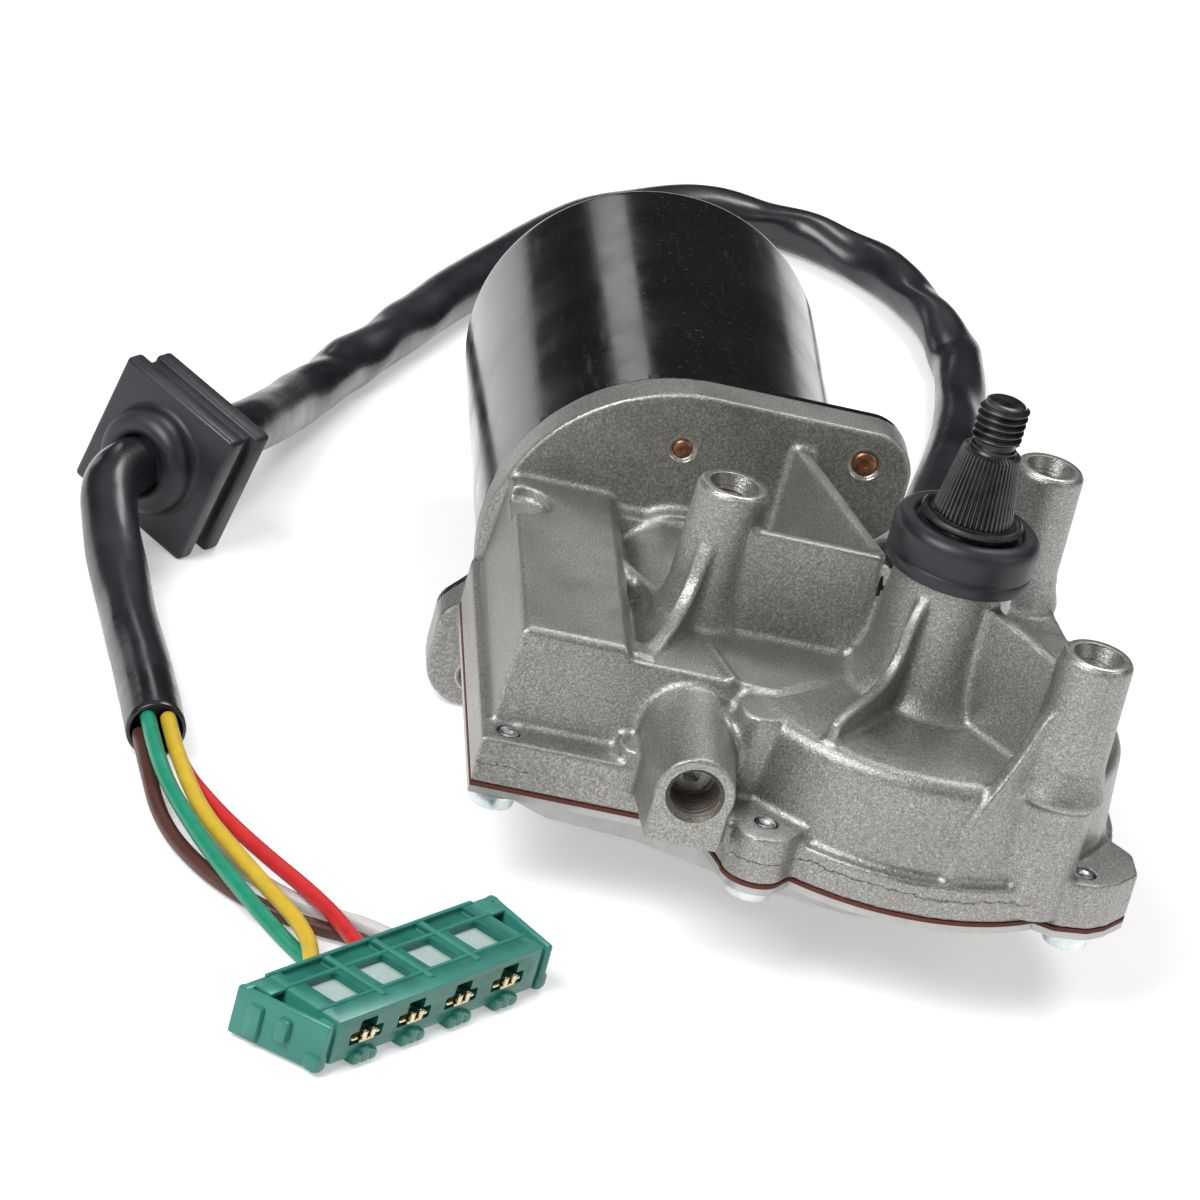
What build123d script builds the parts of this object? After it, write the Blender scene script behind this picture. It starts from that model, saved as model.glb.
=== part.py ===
"""Wiper motor: die-cast gear housing with worm drive, motor can, output shaft and cable.

All lengths are in millimetres. The pieces are drawn from a working datum: the output shaft's
axis is X = Y = 0, the face of the casting that takes the cover is Z = 0, +Z points along the
output shaft and +Y runs along the motor can. Before writing, everything is moved so that the
origin is the middle of the underside of the motor's bounding box, without its cable.
"""
from build123d import *
import math
import os

# --- Worm and wheel -------------------------------------------------------------------------
module = 1.5
wheel_teeth = 50
pressure_tangent = math.tan(math.radians(20))
worm_pitch_radius = 8.0
worm_addendum = 1.3
worm_dedendum = 1.6
wheel_dedendum = 1.7
tooth_thickness = 2.2
worm_turns = 6
wheel_width = 9.0
axial_pitch = math.pi * module
wheel_pitch_radius = module * wheel_teeth / 2
wheel_tip_radius = wheel_pitch_radius + worm_addendum
wheel_root_radius = wheel_pitch_radius - wheel_dedendum
worm_tip_radius = worm_pitch_radius + worm_addendum
worm_root_radius = worm_pitch_radius - worm_dedendum
centre_distance = wheel_pitch_radius + worm_pitch_radius
worm_end = worm_turns * axial_pitch / 2
lead_tangent = axial_pitch / (2 * math.pi * worm_pitch_radius)
wheel_hub_radius = 13.0
wheel_web_radius = 31.0
wheel_web_recess = 2.6

# --- Armature axis, which lies along Y -------------------------------------------------------
armature_x = -centre_distance
armature_z = 16.0
running_gap = 0.03
side_gap = 0.4

# --- Gear housing ----------------------------------------------------------------------------
cavity_radius = wheel_tip_radius + 0.8
drum_radius = 43.1
drum_top_radius = 41.4
flange_height = 9.8
ledge_height = 7.4
ledge_radius = 45.0
drum_edge_radius = 3.2
roof_thickness = 4.2
hub_rise = 1.4
washer_thickness = 0.8
washer_gap = 0.1
roof_height = armature_z + wheel_width / 2 + hub_rise + washer_gap + washer_thickness
drum_height = roof_height + roof_thickness
tunnel_radius = worm_tip_radius + 0.8
tunnel_wall = 2.4
block_left = -85.0
block_front = -26.0
block_wall_left = -83.2
block_wall_front = -18.4
block_right = -6.0
block_low_height = 27.6
block_high_height = 30.0
block_high_right = -58.4
block_draft = 5.0
block_cavity_wall = 3.0
pocket_depth = 14.0
plate_front = 54.0
plate_thickness = 9.0
can_radius = 38.4
plate_rim = 0.8
plate_radius = can_radius + plate_rim
plate_ear_reach = can_radius + 4.5
plate_ear_height = can_radius + plate_rim
plate_ear_corner = 9.0
plate_ear_screw = (can_radius - 5.4, can_radius - 6.4)
bore_boss_face = -45.5
bore_boss_radius = 9.5
bore_boss_face_radius = 7.8
bore_boss_foot = 5.0
front_bore_radius = 4.8
front_bore_depth = 9.5
thrust_screw_radius = 3.8
thrust_screw_length = 4.5
thrust_ball_radius = 1.8

# --- Tapped mounting posts -------------------------------------------------------------------
post_top = 56.0
post_top_radius = 7.2
post_draft = 0.022
post_bore_radius = 3.85
post_bore_depths = {"a": 20.0, "c": 24.0, "d": 22.0}
post_rim_chamfer = 0.6
post_a = (-44.5, 12.0)
post_c = (24.5, 54.3)
post_d = (24.5, -32.2)
post_floors = {"a": 24.0, "c": 6.0, "d": 1.5}

# --- Shaft column and output shaft -----------------------------------------------------------
column_top = 58.0
column_radius = 12.0
column_foot_radius = 16.4
bush_wall = 2.4
bush_length = 11.0
shaft_journal_radius = 8.0
shaft_top = 90.0
thread_radius = 4.95
thread_length = 9.0
thread_chamfer = 0.8
neck_radius = 4.5
neck_length = 1.8
knurl_top_radius = 5.85
knurl_bottom_radius = 8.0
knurl_bottom = 65.6
collar_radius = 10.2
collar_thickness = 1.4
cap_radius = 14.6
cap_bottom = 53.5
cap_top = 64.0
cap_roof = 3.0
cap_wall = 1.8
cap_rim_radius = 2.4

# --- Cover, gasket and screws ----------------------------------------------------------------
gasket_thickness = 0.8
cover_thickness = 1.4
pan_depth = 8.6
screw_shank_radius = 2.0
screw_head_radius = 3.9
screw_head_height = 3.4
screw_tip = 10.6
cover_screws_at = [(-79.6, -21.4), (-29.3, -37.7), (35.0, -31.3), (31.0, 33.0), (-79.6, 44.0)]

# --- Motor can and what it holds -------------------------------------------------------------
can_wall = 1.8
can_end = 167.5
can_edge_radius = 3.6
rear_cup = 4.0
can_flange_thickness = 1.8
magnet_thickness = 8.0
magnet_arc = 140.0
magnet_start = 92.0
magnet_length = 58.0
air_gap = 0.7
core_length = 50.0
core_start = 96.0
slot_count = 12
slot_width = 3.4
slot_depth = 9.0
slot_mouth_depth = 1.2
slot_mouth_width = 1.6
winding_reach = 9.0
winding_radius = 25.0
commutator_radius = 11.0
commutator_start = 72.0
commutator_length = 15.0
shaft_radius = 5.0
front_journal_radius = 4.0
bearing_radius = 9.0
bearing_length = 8.0
front_bush_radius = 7.0
front_bush_length = 8.0
front_bush_start = -28.0
brush_plate_start = 76.0
brush_plate_thickness = 3.0
brush_plate_gap = 1.0
brush_plate_radius = can_radius - can_wall - brush_plate_gap
brush_size = (5.0, 6.0, 11.0)
brush_gap = 0.25
brush_angles = (80, 200, 320)
brush_box_wall = 1.2
brush_box_start = 3.5
spring_radius = 2.2
spring_length = 8.0
plate_screw_radius = 2.0
plate_screw_circle = 27.2

# --- Cable -----------------------------------------------------------------------------------
gland_x = 5.0
gland_z = 11.0
gland_seat = 46.8
gland_plug_radius = 7.4
gland_flange_radius = 9.6
gland_flange_thickness = 3.6
gland_tail_length = 12.0
gland_tail_radius = 7.2
sleeve_radius = 6.0
wire_radius = 1.6
wire_circle = 3.4
grommet_centre = (-148.7, 103.4)
grommet_heading = (-0.618, -0.786)
grommet_size = 31.4
grommet_tilt = -12.0
grommet_depth = 13.6
grommet_collar = 6.0
grommet_collar_radius = 11.0
grommet_groove = (4.6, 9.0)
grommet_height = grommet_size / math.sqrt(2) * math.cos(math.radians(45 - abs(grommet_tilt))) - 0.7
sleeve_end = (-143.4, 3.0, -17.2)
connector_centre = (-95.5, -79.0)
connector_heading = (0.664, 0.747)
connector_length = 74.0
connector_depth = 19.0
connector_height = 10.4
connector_pitch = 13.8
latch_reach = 7.0


standing = (Align.CENTER, Align.CENTER, Align.MIN)
outward = (Align.MIN, Align.CENTER, Align.CENTER)


def rod_z(x, y, low, high, radius):
    """Round bar parallel to Z."""
    return Pos(x, y, low) * Cylinder(radius, high - low, align=standing)


def taper_z(x, y, low, high, low_radius, high_radius):
    """Drafted round post parallel to Z."""
    return Pos(x, y, low) * Cone(low_radius, high_radius, high - low,
                                 align=standing)


def along_y(x, z, start):
    """Placement whose local Z runs along +Y and whose local X stays along +X."""
    return Location((x, start, z), (-90, 0, 0))


def rod_y(x, z, start, end, radius):
    """Round bar parallel to Y."""
    return along_y(x, z, start) * Cylinder(radius, end - start, align=standing)


def ring_y(x, z, start, end, radius, bore):
    """Round tube parallel to Y."""
    return rod_y(x, z, start, end, radius) - rod_y(x, z, start - 1, end + 1, bore)


def axle(start, end, radius):
    """Round bar on the armature axis."""
    return rod_y(armature_x, armature_z, start, end, radius)


def axle_ring(start, end, radius, bore):
    """Round tube on the armature axis."""
    return ring_y(armature_x, armature_z, start, end, radius, bore)


def ring_z(x, y, low, high, radius, bore):
    """Round tube parallel to Z."""
    return rod_z(x, y, low, high, radius) - rod_z(x, y, low - 1, high + 1, bore)


def prism(points, low, high, draft=0.0):
    """Upright prism on a closed outline given in X and Y."""
    face = make_face(Polyline(*[(x, y, low) for x, y in points], close=True))
    return extrude(face, high - low, dir=(0, 0, 1), taper=draft)


def rib(root, toward, crest, thickness, floor):
    """Thin upright web that runs from root in the direction of toward.

    crest is the upper edge as (distance from root, height) points, joined by a smooth curve
    when there are more than two.
    """
    heading = Vector(toward[0] - root[0], toward[1] - root[1], 0).normalized()
    side = heading.cross(Vector(0, 0, 1))
    plane = Plane(origin=(root[0], root[1], 0), x_dir=heading, z_dir=side)
    top = Spline(*crest) if len(crest) > 2 else Line(*crest)
    sides = Polyline(crest[-1], (crest[-1][0], floor), (crest[0][0], floor), crest[0])
    return extrude(plane * make_face(top + sides), thickness / 2, both=True)


def turned(profile):
    """Solid turned about Z from a closed (radius, height) outline."""
    face = make_face(Polyline(*[(r, 0, z) for r, z in profile], close=True))
    return revolve(face, Axis.Z, 360)


def grommet_point(distance):
    """Point on the grommet's axis, behind its front face by a distance."""
    x, y = grommet_centre
    dx, dy = grommet_heading
    return (x - dx * distance, y - dy * distance, armature_z - plate_ear_height + grommet_height)


def post_radius(height):
    """Radius of a drafted mounting post at a height."""
    return post_top_radius + post_draft * (post_top - height)


# --- Outlines shared by several pieces -------------------------------------------------------
def lug_outline():
    """Footprint of the motor block and of the round screw lugs."""
    block = Polyline((block_left, block_front), (-49.0, block_front), (-34.0, -33.0), (0, -30.0),
                     (block_right, plate_front), (block_left, plate_front), close=True)
    corner_lug = Polyline((36.0, -8.0), (41.0, -12.5), (46.4, -19.0), (46.6, -27.0), (41.8, -33.0),
                          (37.8, -36.0), (31.0, -37.4), (22.0, -34.0), (20.0, -20.0), close=True)
    front_neck = Polyline((-36.1, -39.0), (-39.0, -30.0), (-20.0, -36.0), (-24.4, -42.2), close=True)
    outline = make_face(block) + fillet(make_face(corner_lug).vertices(), 3.0)
    outline += make_face(front_neck) + Pos(-29.8, -39.0) * Circle(6.3)
    outline += Pos(31.0, 33.0) * Circle(7.0)
    return outline


def cover_outline():
    """Footprint of the cover joint: the ring round the wheel with the block and the lugs."""
    return Circle(ledge_radius) + lug_outline()


def plate_outline(inset=0.0):
    """Motor flange outline about the armature axis, with X across and Y up."""
    reach = plate_ear_reach - inset
    height = plate_ear_height - inset
    rim = FilletPolyline((0, height), (reach, height), (reach, 20.0), (30.0, 6.0),
                         radius=(plate_ear_corner, 5.0))
    ear = make_face(rim + Polyline((30.0, 6.0), (0, 0), (0, height)))
    return Circle(plate_radius - inset) + ear + Rot(0, 0, 180) * ear


def flange_slab(start, end, inset=0.0):
    """Slab with the motor flange outline between two Y planes."""
    plane = Plane(origin=(armature_x, end, armature_z), x_dir=(1, 0, 0), z_dir=(0, -1, 0))
    return extrude(plane * plate_outline(inset), end - start)


def ear_points():
    """Centres of the two motor screws as (x, z)."""
    dx, dz = plate_ear_screw
    return [(armature_x + dx, armature_z + dz), (armature_x - dx, armature_z - dz)]


def plate_screw_points():
    """Centres of the three brush plate screws as (x, z)."""
    return [(armature_x + plate_screw_circle * math.cos(math.radians(a)),
             armature_z + plate_screw_circle * math.sin(math.radians(a))) for a in (98, 218, 338)]


def post(centre, floor):
    """Tapped mounting post on the casting."""
    x, y = centre
    body = taper_z(x, y, floor, post_top, post_radius(floor), post_top_radius)
    return chamfer(body.edges().sort_by(Axis.Z)[-1], post_rim_chamfer)


def shaft_column():
    """Flared column that carries the output shaft's bushes."""
    floor = drum_height - 5
    foot = drum_height - 0.4
    flare = Spline((column_radius, 0, 46.0), (12.4, 0, 36.0), (13.7, 0, 30.4),
                   (column_foot_radius, 0, foot))
    sides = Polyline((column_foot_radius, 0, foot), (column_foot_radius, 0, floor), (6, 0, floor),
                     (6, 0, column_top), (column_radius, 0, column_top), (column_radius, 0, 46.0))
    return revolve(make_face(flare + sides), Axis.Z, 360)


def housing_ribs():
    """Webs and ribs that tie the posts and the column to the casting."""
    floor = 22.0
    ax, ay = post_a
    dx, dy = post_d
    ribs = rib((0, 0), (-20.4, -32.2),
               [(11.0, 51.0), (13.2, 49.2), (15.2, 46.0), (16.2, 42.0), (17.6, 37.8), (21.0, 35.0),
                (27.5, 33.2), (35.0, 32.4), (39.4, 31.0)], 2.4, 18.0)
    ribs += rib((0, 0), post_d, [(11.0, 51.2), (38.0, 49.4)], 3.0, floor)
    ribs += rib(post_d, (5.0, -42.6),
                [(3.0, 47.0), (7.6, 44.5), (11.0, 37.0), (17.0, 25.0), (21.5, 11.0)], 3.2, 4.0)
    ribs += rib(post_a, (-56.8, -13.6),
                [(5.0, 48.0), (7.6, 45.0), (10.0, 38.0), (15.0, 32.4), (28.6, 28.2)], 3.2, floor)
    pad_edge = -13.0
    pad = make_face(Polyline((ax, floor), (pad_edge - 5, floor), (pad_edge - 5, 27.4), (pad_edge, 32.4),
                             (pad_edge, 49.6), (ax, 49.6), close=True))
    ribs += extrude(Plane(origin=(0, 9.0, 0), x_dir=(1, 0, 0), z_dir=(0, -1, 0)) * pad, 3.0)
    ribs += rib((-26.4, plate_front + 2), (pad_edge - 0.4, 8.0), [(0, 48.6), (49.4, 49.4)], 3.0, floor)
    ribs += rib((-60.0, 29.0), (-52.6, 16.2), [(0, 28.4), (14.6, 28.4)], 1.6, 16.0)
    ribs += rib((-43.6, -2.6), (-39.2, -16.8), [(0, 28.6), (15.0, 28.6)], 1.6, floor)
    return ribs


def gear_housing():
    """Die-cast housing: wheel drum, worm tunnel, terminal block, posts and motor flange."""
    body = extrude(cover_outline(), ledge_height) + extrude(lug_outline(), flange_height)
    drum = taper_z(0, 0, ledge_height - 1, drum_height, drum_radius, drum_top_radius)
    drum = fillet(drum.edges().sort_by(Axis.Z)[-1], drum_edge_radius)
    low_block = prism([(block_wall_left, block_wall_front), (-30, block_wall_front), (-10, 0),
                       (block_right, plate_front + 5), (block_wall_left, plate_front + 5)],
                      flange_height - 1, block_low_height, block_draft)
    high_block = prism([(block_wall_left, block_wall_front), (block_high_right, block_wall_front),
                        (block_high_right, plate_front + 5), (block_wall_left, plate_front + 5)],
                       flange_height - 1, block_high_height, block_draft)
    high_block = fillet(high_block.edges().filter_by(GeomType.LINE).group_by(Axis.Z)[-1], 1.6)
    body += drum + low_block + high_block
    body += flange_slab(plate_front, plate_front + plate_thickness)
    body += axle_ring(plate_front - 3.0, plate_front + 1, 14.0, 8.6)
    arm = prism([(15.2, 34), (16.6, 54.3), (32.4, 54.3), (36, 30), (20, 25)], post_floors["c"], 26.6)
    body += arm
    for name, centre in (("a", post_a), ("c", post_c), ("d", post_d)):
        body += post(centre, post_floors[name])
    body += rod_z(31.0, 33.0, 1, 26.8, 6.0)
    body += shaft_column() + housing_ribs()
    boss = along_y(armature_x, armature_z, bore_boss_face) * Cone(
        bore_boss_face_radius, bore_boss_radius, block_wall_front + 3 - bore_boss_face,
        align=standing)
    foot = prism([(-53.0, bore_boss_face), (-38.2, bore_boss_face), (-36.6, block_front + 8),
                  (-54.6, block_front + 8)], bore_boss_foot, armature_z)
    body += boss + foot
    body += rod_z(-33.4, -24.0, 4, 26.8, 5.0) + rod_z(-54.5, -21.8, flange_height - 1, 13.0, 4.0)
    body += rod_y(gland_x, gland_z, 38.0, gland_seat, gland_flange_radius)
    return body - housing_hollows()


def block_cavity():
    """Limits of the terminal block's cavity: left, right, front, back and roof."""
    wall = block_cavity_wall
    return (block_wall_left + wall + 1, block_high_right - wall - 2, block_wall_front + wall,
            plate_front - wall, block_high_height - wall - 1)


def block_cavity_prism(low, high):
    """Prism with the footprint of the terminal block's cavity."""
    left, right, front, back, _ = block_cavity()
    return prism([(left, front), (right, front), (right, back), (left, back)], low, high)


def housing_hollows():
    """Everything that is cored or machined out of the casting."""
    void = rod_z(0, 0, -1, roof_height, cavity_radius)
    void += axle(worm_end * -1 - 1.5, worm_end + 1.5, tunnel_radius)
    void += axle(front_bush_start + front_bush_length, plate_front + 2, shaft_radius + 1.6)
    void += axle(front_bush_start, front_bush_start + front_bush_length + 1, front_bush_radius)
    void += axle(plate_front + 1, plate_front + plate_thickness + 1, bearing_radius)
    void += axle(bore_boss_face - 1, bore_boss_face + front_bore_depth, front_bore_radius)
    void += axle(bore_boss_face, front_bush_start + 1, thrust_screw_radius)
    void += axle(plate_front - 4, plate_front - 1.4, 12.0) & rod_z(armature_x, plate_front, 28.6, 60, 40)
    void += block_cavity_prism(-1, block_cavity()[-1])
    pocket = prism([(-58.6, -6.0), (-52.5, -9.5), (-50.0, -3.0), (-50.0, 50.5), (-58.6, 50.5)],
                   pocket_depth, 32.0)
    void += pocket - axle(-40, 60, tunnel_radius + tunnel_wall) - housing_ribs()
    void += rod_z(-79.6, 43.0, block_high_height - 3.2, block_high_height + 1, 6.2)
    void += rod_z(0, 0, roof_height - 1, column_top + 1, shaft_journal_radius + bush_wall)
    for name, (x, y) in (("a", post_a), ("c", post_c), ("d", post_d)):
        void += rod_z(x, y, post_top - post_bore_depths[name], post_top + 1, post_bore_radius)
    for x, y in cover_screws_at:
        void += rod_z(x, y, -1, screw_tip + 1, screw_shank_radius)
    for x, z in ear_points():
        void += rod_y(x, z, plate_front - 1, plate_front + plate_thickness + 1, screw_shank_radius + 0.6)
    for x, z in plate_screw_points():
        void += rod_y(x, z, plate_front - 1, plate_front + plate_thickness + 1, plate_screw_radius)
    void += rod_y(gland_x, gland_z, 36.0, gland_seat + 1, gland_plug_radius)
    void += rod_y(-52.0, 19.0, plate_front - 1, plate_front + 3, 1.6)
    return void


def worm_thread():
    """One-start trapezoidal thread, in mesh with the wheel at rest."""
    start = -worm_end
    sunk_radius = worm_root_radius - 0.3

    def half_width(radius):
        return tooth_thickness / 2 + (worm_pitch_radius - radius) * pressure_tangent

    low, high = half_width(sunk_radius), half_width(worm_tip_radius)
    section = make_face(Polyline((sunk_radius, 0, start - low), (worm_tip_radius, 0, start - high),
                                 (worm_tip_radius, 0, start + high), (sunk_radius, 0, start + low),
                                 close=True))
    path = Helix(axial_pitch, 2 * worm_end, worm_pitch_radius, center=(0, 0, start))
    return sweep(section, path=path, is_frenet=True)


def armature_shaft():
    """Hardened shaft with the worm cut into it, from the front journal to the rear bearing."""
    rear = can_end - can_wall - 2.0
    steps = [(front_bush_start + 0.4, front_bush_start + front_bush_length + 1.5, front_journal_radius),
             (front_bush_start + front_bush_length + 1.5, -worm_end - 1, shaft_radius),
             (-worm_end - 1, worm_end + 1, worm_root_radius),
             (worm_end + 1, rear, shaft_radius)]
    body = worm_thread()
    for low, high, radius in steps:
        body += rod_z(0, 0, low, high, radius)
    return along_y(armature_x, armature_z, 0) * body


def worm_wheel():
    """Fifty-tooth helical wheel with a recessed web, moulded on the output shaft."""
    def half_angle(radius):
        half = tooth_thickness / 2 - (radius - wheel_pitch_radius) * pressure_tangent
        return half / radius

    step = 2 * math.pi / wheel_teeth
    twist = math.degrees(wheel_width * lead_tangent / wheel_pitch_radius)
    phase = (worm_turns + 1) % 2 / 2
    points = []
    for tooth in range(wheel_teeth):
        middle = math.pi + (tooth + phase) * step
        for radius, side in ((wheel_root_radius, -1), (wheel_tip_radius, -1),
                             (wheel_tip_radius, 1), (wheel_root_radius, 1)):
            angle = middle + side * half_angle(radius)
            points.append((radius * math.cos(angle), radius * math.sin(angle)))
    profile = make_face(Polyline(*points, close=True))
    low = armature_z - wheel_width / 2
    high = armature_z + wheel_width / 2
    lower = Pos(0, 0, low) * Rot(0, 0, -twist / 2) * profile
    upper = Pos(0, 0, high) * Rot(0, 0, twist / 2) * profile
    wheel = loft([lower, upper], ruled=True)
    for z_low, z_high in ((low - 1, low + wheel_web_recess), (high - wheel_web_recess, high + 1)):
        wheel -= ring_z(0, 0, z_low, z_high, wheel_web_radius, wheel_hub_radius)
    wheel += rod_z(0, 0, low - 4, high + hub_rise, wheel_hub_radius)
    return wheel - rod_z(0, 0, low - 10, high + 10, shaft_journal_radius)


def output_shaft():
    """Stepped output shaft with a knurled taper and a threaded end."""
    low = armature_z - wheel_width / 2 - 4
    thread_start = shaft_top - thread_length
    neck_start = thread_start - neck_length
    profile = [(0, low), (shaft_journal_radius, low), (shaft_journal_radius, knurl_bottom),
               (knurl_bottom_radius, knurl_bottom), (knurl_top_radius, neck_start),
               (neck_radius, neck_start), (neck_radius, thread_start), (thread_radius, thread_start),
               (thread_radius, shaft_top - thread_chamfer), (thread_radius - thread_chamfer, shaft_top),
               (0, shaft_top)]
    kept = [point for i, point in enumerate(profile) if i == 0 or point != profile[i - 1]]
    return turned(kept)


def rubber_cap():
    """Rubber boot that seals the top of the shaft column."""
    outer = rod_z(0, 0, cap_bottom, cap_top, cap_radius)
    outer = fillet(outer.edges().sort_by(Axis.Z)[-1], cap_rim_radius)
    hollow = rod_z(0, 0, cap_bottom - 1, cap_bottom + 3.0, cap_radius - cap_wall)
    hollow += rod_z(0, 0, cap_bottom - 1, column_top, column_radius)
    hollow += rod_z(0, 0, column_top - 1, cap_top - cap_roof, column_radius - 0.6)
    return outer - hollow - rod_z(0, 0, cap_bottom, cap_top + 1, shaft_journal_radius + 0.3)


def shaft_collar():
    """Spring washer clipped on the shaft above the rubber cap."""
    seat = cap_top + 0.2
    return ring_z(0, 0, seat, seat + collar_thickness, collar_radius, shaft_journal_radius)


def shaft_bush(low):
    """Sintered bush in the shaft column."""
    bore = shaft_journal_radius + running_gap
    return ring_z(0, 0, low, low + bush_length, shaft_journal_radius + bush_wall, bore)


def thrust_washer():
    """Washer between the wheel hub and the casting."""
    low = roof_height - washer_thickness
    return ring_z(0, 0, low, roof_height, wheel_hub_radius - 1, shaft_journal_radius + 0.2)


def pan_outline():
    """Footprint of the pressed pan in the cover."""
    return make_face(Polyline((-76.0, 42.0), (-76.0, -12.0), (-68.0, -18.0), (-50.0, -20.0),
                              (-31.0, -28.0), (-8.0, -33.0), (14.0, -30.0), (30.0, -16.0), (34.0, 4.0),
                              (26.0, 24.0), (4.0, 36.0), (-30.0, 44.0), close=True))


def bottom_cover():
    """Pressed cover plate with a shallow pan under the wheel and the contacts."""
    top = -gasket_thickness
    plate = Pos(0, 0, top - cover_thickness) * extrude(cover_outline(), cover_thickness)
    pan = extrude(Pos(0, 0, top - 0.2) * fillet(pan_outline().vertices(), 5.0), -pan_depth, taper=14)
    core = extrude(Pos(0, 0, top + 0.1) * offset(fillet(pan_outline().vertices(), 5.0), -2.0),
                   -(pan_depth + 0.3 - cover_thickness), taper=14)
    cover = plate + pan - core
    for x, y in cover_screws_at:
        cover -= rod_z(x, y, top - cover_thickness - 1, top + 1, screw_shank_radius + 0.3)
    return cover


def cover_gasket():
    """Thin gasket between the casting and the cover."""
    gasket = Pos(0, 0, -gasket_thickness) * extrude(cover_outline(), gasket_thickness)
    gasket -= rod_z(0, 0, -2, 1, cavity_radius) + block_cavity_prism(-2, 1)
    for x, y in cover_screws_at:
        gasket -= rod_z(x, y, -2, 1, screw_shank_radius + 0.3)
    return gasket


def cover_screws():
    """Five screws that hold the cover, their tips standing above the lugs."""
    seat = -gasket_thickness - cover_thickness
    screws = []
    for x, y in cover_screws_at:
        head = rod_z(x, y, seat - screw_head_height, seat, screw_head_radius)
        head = fillet(head.edges().sort_by(Axis.Z)[0], 0.8)
        socket = Pos(x, y, seat - screw_head_height) * extrude(RegularPolygon(1.9, 6), 1.8)
        screws.append(head - socket + rod_z(x, y, seat, screw_tip, screw_shank_radius))
    return screws


def motor_can():
    """Deep-drawn can with its flange and rear bearing cup."""
    start = plate_front + plate_thickness
    can = axle(start, can_end, can_radius)
    can = fillet(can.edges().sort_by(Axis.Y)[-1], can_edge_radius)
    can += flange_slab(start, start + can_flange_thickness, 0.2)
    can += axle(can_end - 1, can_end + rear_cup, bearing_radius + can_wall)
    can -= axle(start - 1, can_end - can_wall, can_radius - can_wall)
    can -= axle(start, can_end + rear_cup - can_wall, bearing_radius)
    for x, z in ear_points():
        can -= rod_y(x, z, start - 1, start + 5, screw_shank_radius + 0.8)
    return can


def field_magnets():
    """Two ferrite arc magnets bonded inside the can."""
    outer = can_radius - can_wall
    inner = outer - magnet_thickness
    magnets = []
    reach = 2 * outer
    for middle in (0, 180):
        fan = [middle + magnet_arc * share for share in (-0.5, -0.25, 0.0, 0.25, 0.5)]
        rim = [(reach * math.cos(math.radians(a)), reach * math.sin(math.radians(a))) for a in fan]
        wedge = extrude(make_face(Polyline((0, 0), *rim, close=True)), magnet_length)
        ring = axle_ring(magnet_start, magnet_start + magnet_length, outer, inner)
        magnets.append(ring & along_y(armature_x, armature_z, magnet_start) * wedge)
    return magnets


def core_radius():
    """Outer radius of the armature stack."""
    return can_radius - can_wall - magnet_thickness - air_gap


def slot_bars(clearance):
    """Straight bars that fill the armature's slots."""
    bars = []
    radius = core_radius()
    for index in range(slot_count):
        angle = 360 / slot_count * index
        bar = Box(slot_depth, slot_width - clearance, core_length, align=standing)
        bar = Pos(radius - slot_depth / 2 - slot_mouth_depth, 0, 0) * bar
        bars.append(Rot(0, 0, angle) * bar)
    return bars


def armature_core():
    """Laminated stack with twelve slots."""
    core = ring_z(0, 0, 0, core_length, core_radius(), shaft_radius)
    opening = Pos(core_radius(), 0, 0) * Box(5, slot_mouth_width, core_length, align=standing)
    mouth = [Rot(0, 0, 360 / slot_count * i) * opening for i in range(slot_count)]
    core -= slot_bars(0)
    core -= mouth
    return along_y(armature_x, armature_z, core_start) * core


def armature_windings():
    """Copper windings: slot bars joined by an end crown at each side."""
    crown = turned([(9.0, -winding_reach), (winding_radius - 4, -winding_reach),
                    (winding_radius, -winding_reach + 4), (winding_radius, 0), (9.0, 0)])
    other = Pos(0, 0, core_length) * (mirror(crown, about=Plane.XY))
    body = crown + other + slot_bars(0)
    return along_y(armature_x, armature_z, core_start) * body


def commutator():
    """Twelve-segment commutator with risers."""
    body = ring_z(0, 0, 0, commutator_length, commutator_radius, shaft_radius)
    body += ring_z(0, 0, commutator_length - 2.5, commutator_length, commutator_radius + 1.6, shaft_radius)
    cut = Pos(commutator_radius + 1, 0, -1) * Box(3.0, 0.6, commutator_length + 2, align=standing)
    cuts = [Rot(0, 0, 360 / slot_count * i) * cut for i in range(slot_count)]
    return along_y(armature_x, armature_z, commutator_start) * (body - cuts)


def bearing(start, length, radius, journal):
    """Plain bearing on the armature axis."""
    return axle_ring(start, start + length, radius, journal + running_gap)


def brush_frames():
    """Placements of the three brushes, each with local X pointing away from the shaft."""
    middle = commutator_start + commutator_length / 2 - 1
    return [along_y(armature_x, armature_z, middle) * Rot(0, 0, angle) for angle in brush_angles]


def brush_plate():
    """Moulded plate that carries the brush boxes round the commutator."""
    start = brush_plate_start
    inner = commutator_radius + brush_box_start
    plate = axle_ring(start - brush_plate_thickness, start, brush_plate_radius, inner)
    length = brush_size[2] + spring_length - 1
    width, depth = brush_size[0], brush_size[1]
    grown = 2 * brush_box_wall
    for frame in brush_frames():
        box = frame * Pos(inner, 0, 0) * Box(length, width + grown, depth + grown, align=outward)
        bore = frame * Pos(inner - 1.1, 0, 0) * Box(length, width, depth, align=outward)
        plate = plate + box - bore
    for x, z in plate_screw_points():
        plate += rod_y(x, z, plate_front + plate_thickness, start - brush_plate_thickness, 3.6)
        plate -= rod_y(x, z, plate_front, start + 1, plate_screw_radius)
    return plate


def brushes():
    """Three carbon brushes."""
    block = Box(brush_size[2], brush_size[0], brush_size[1], align=outward)
    return [frame * Pos(commutator_radius + brush_gap, 0, 0) * block for frame in brush_frames()]


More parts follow.
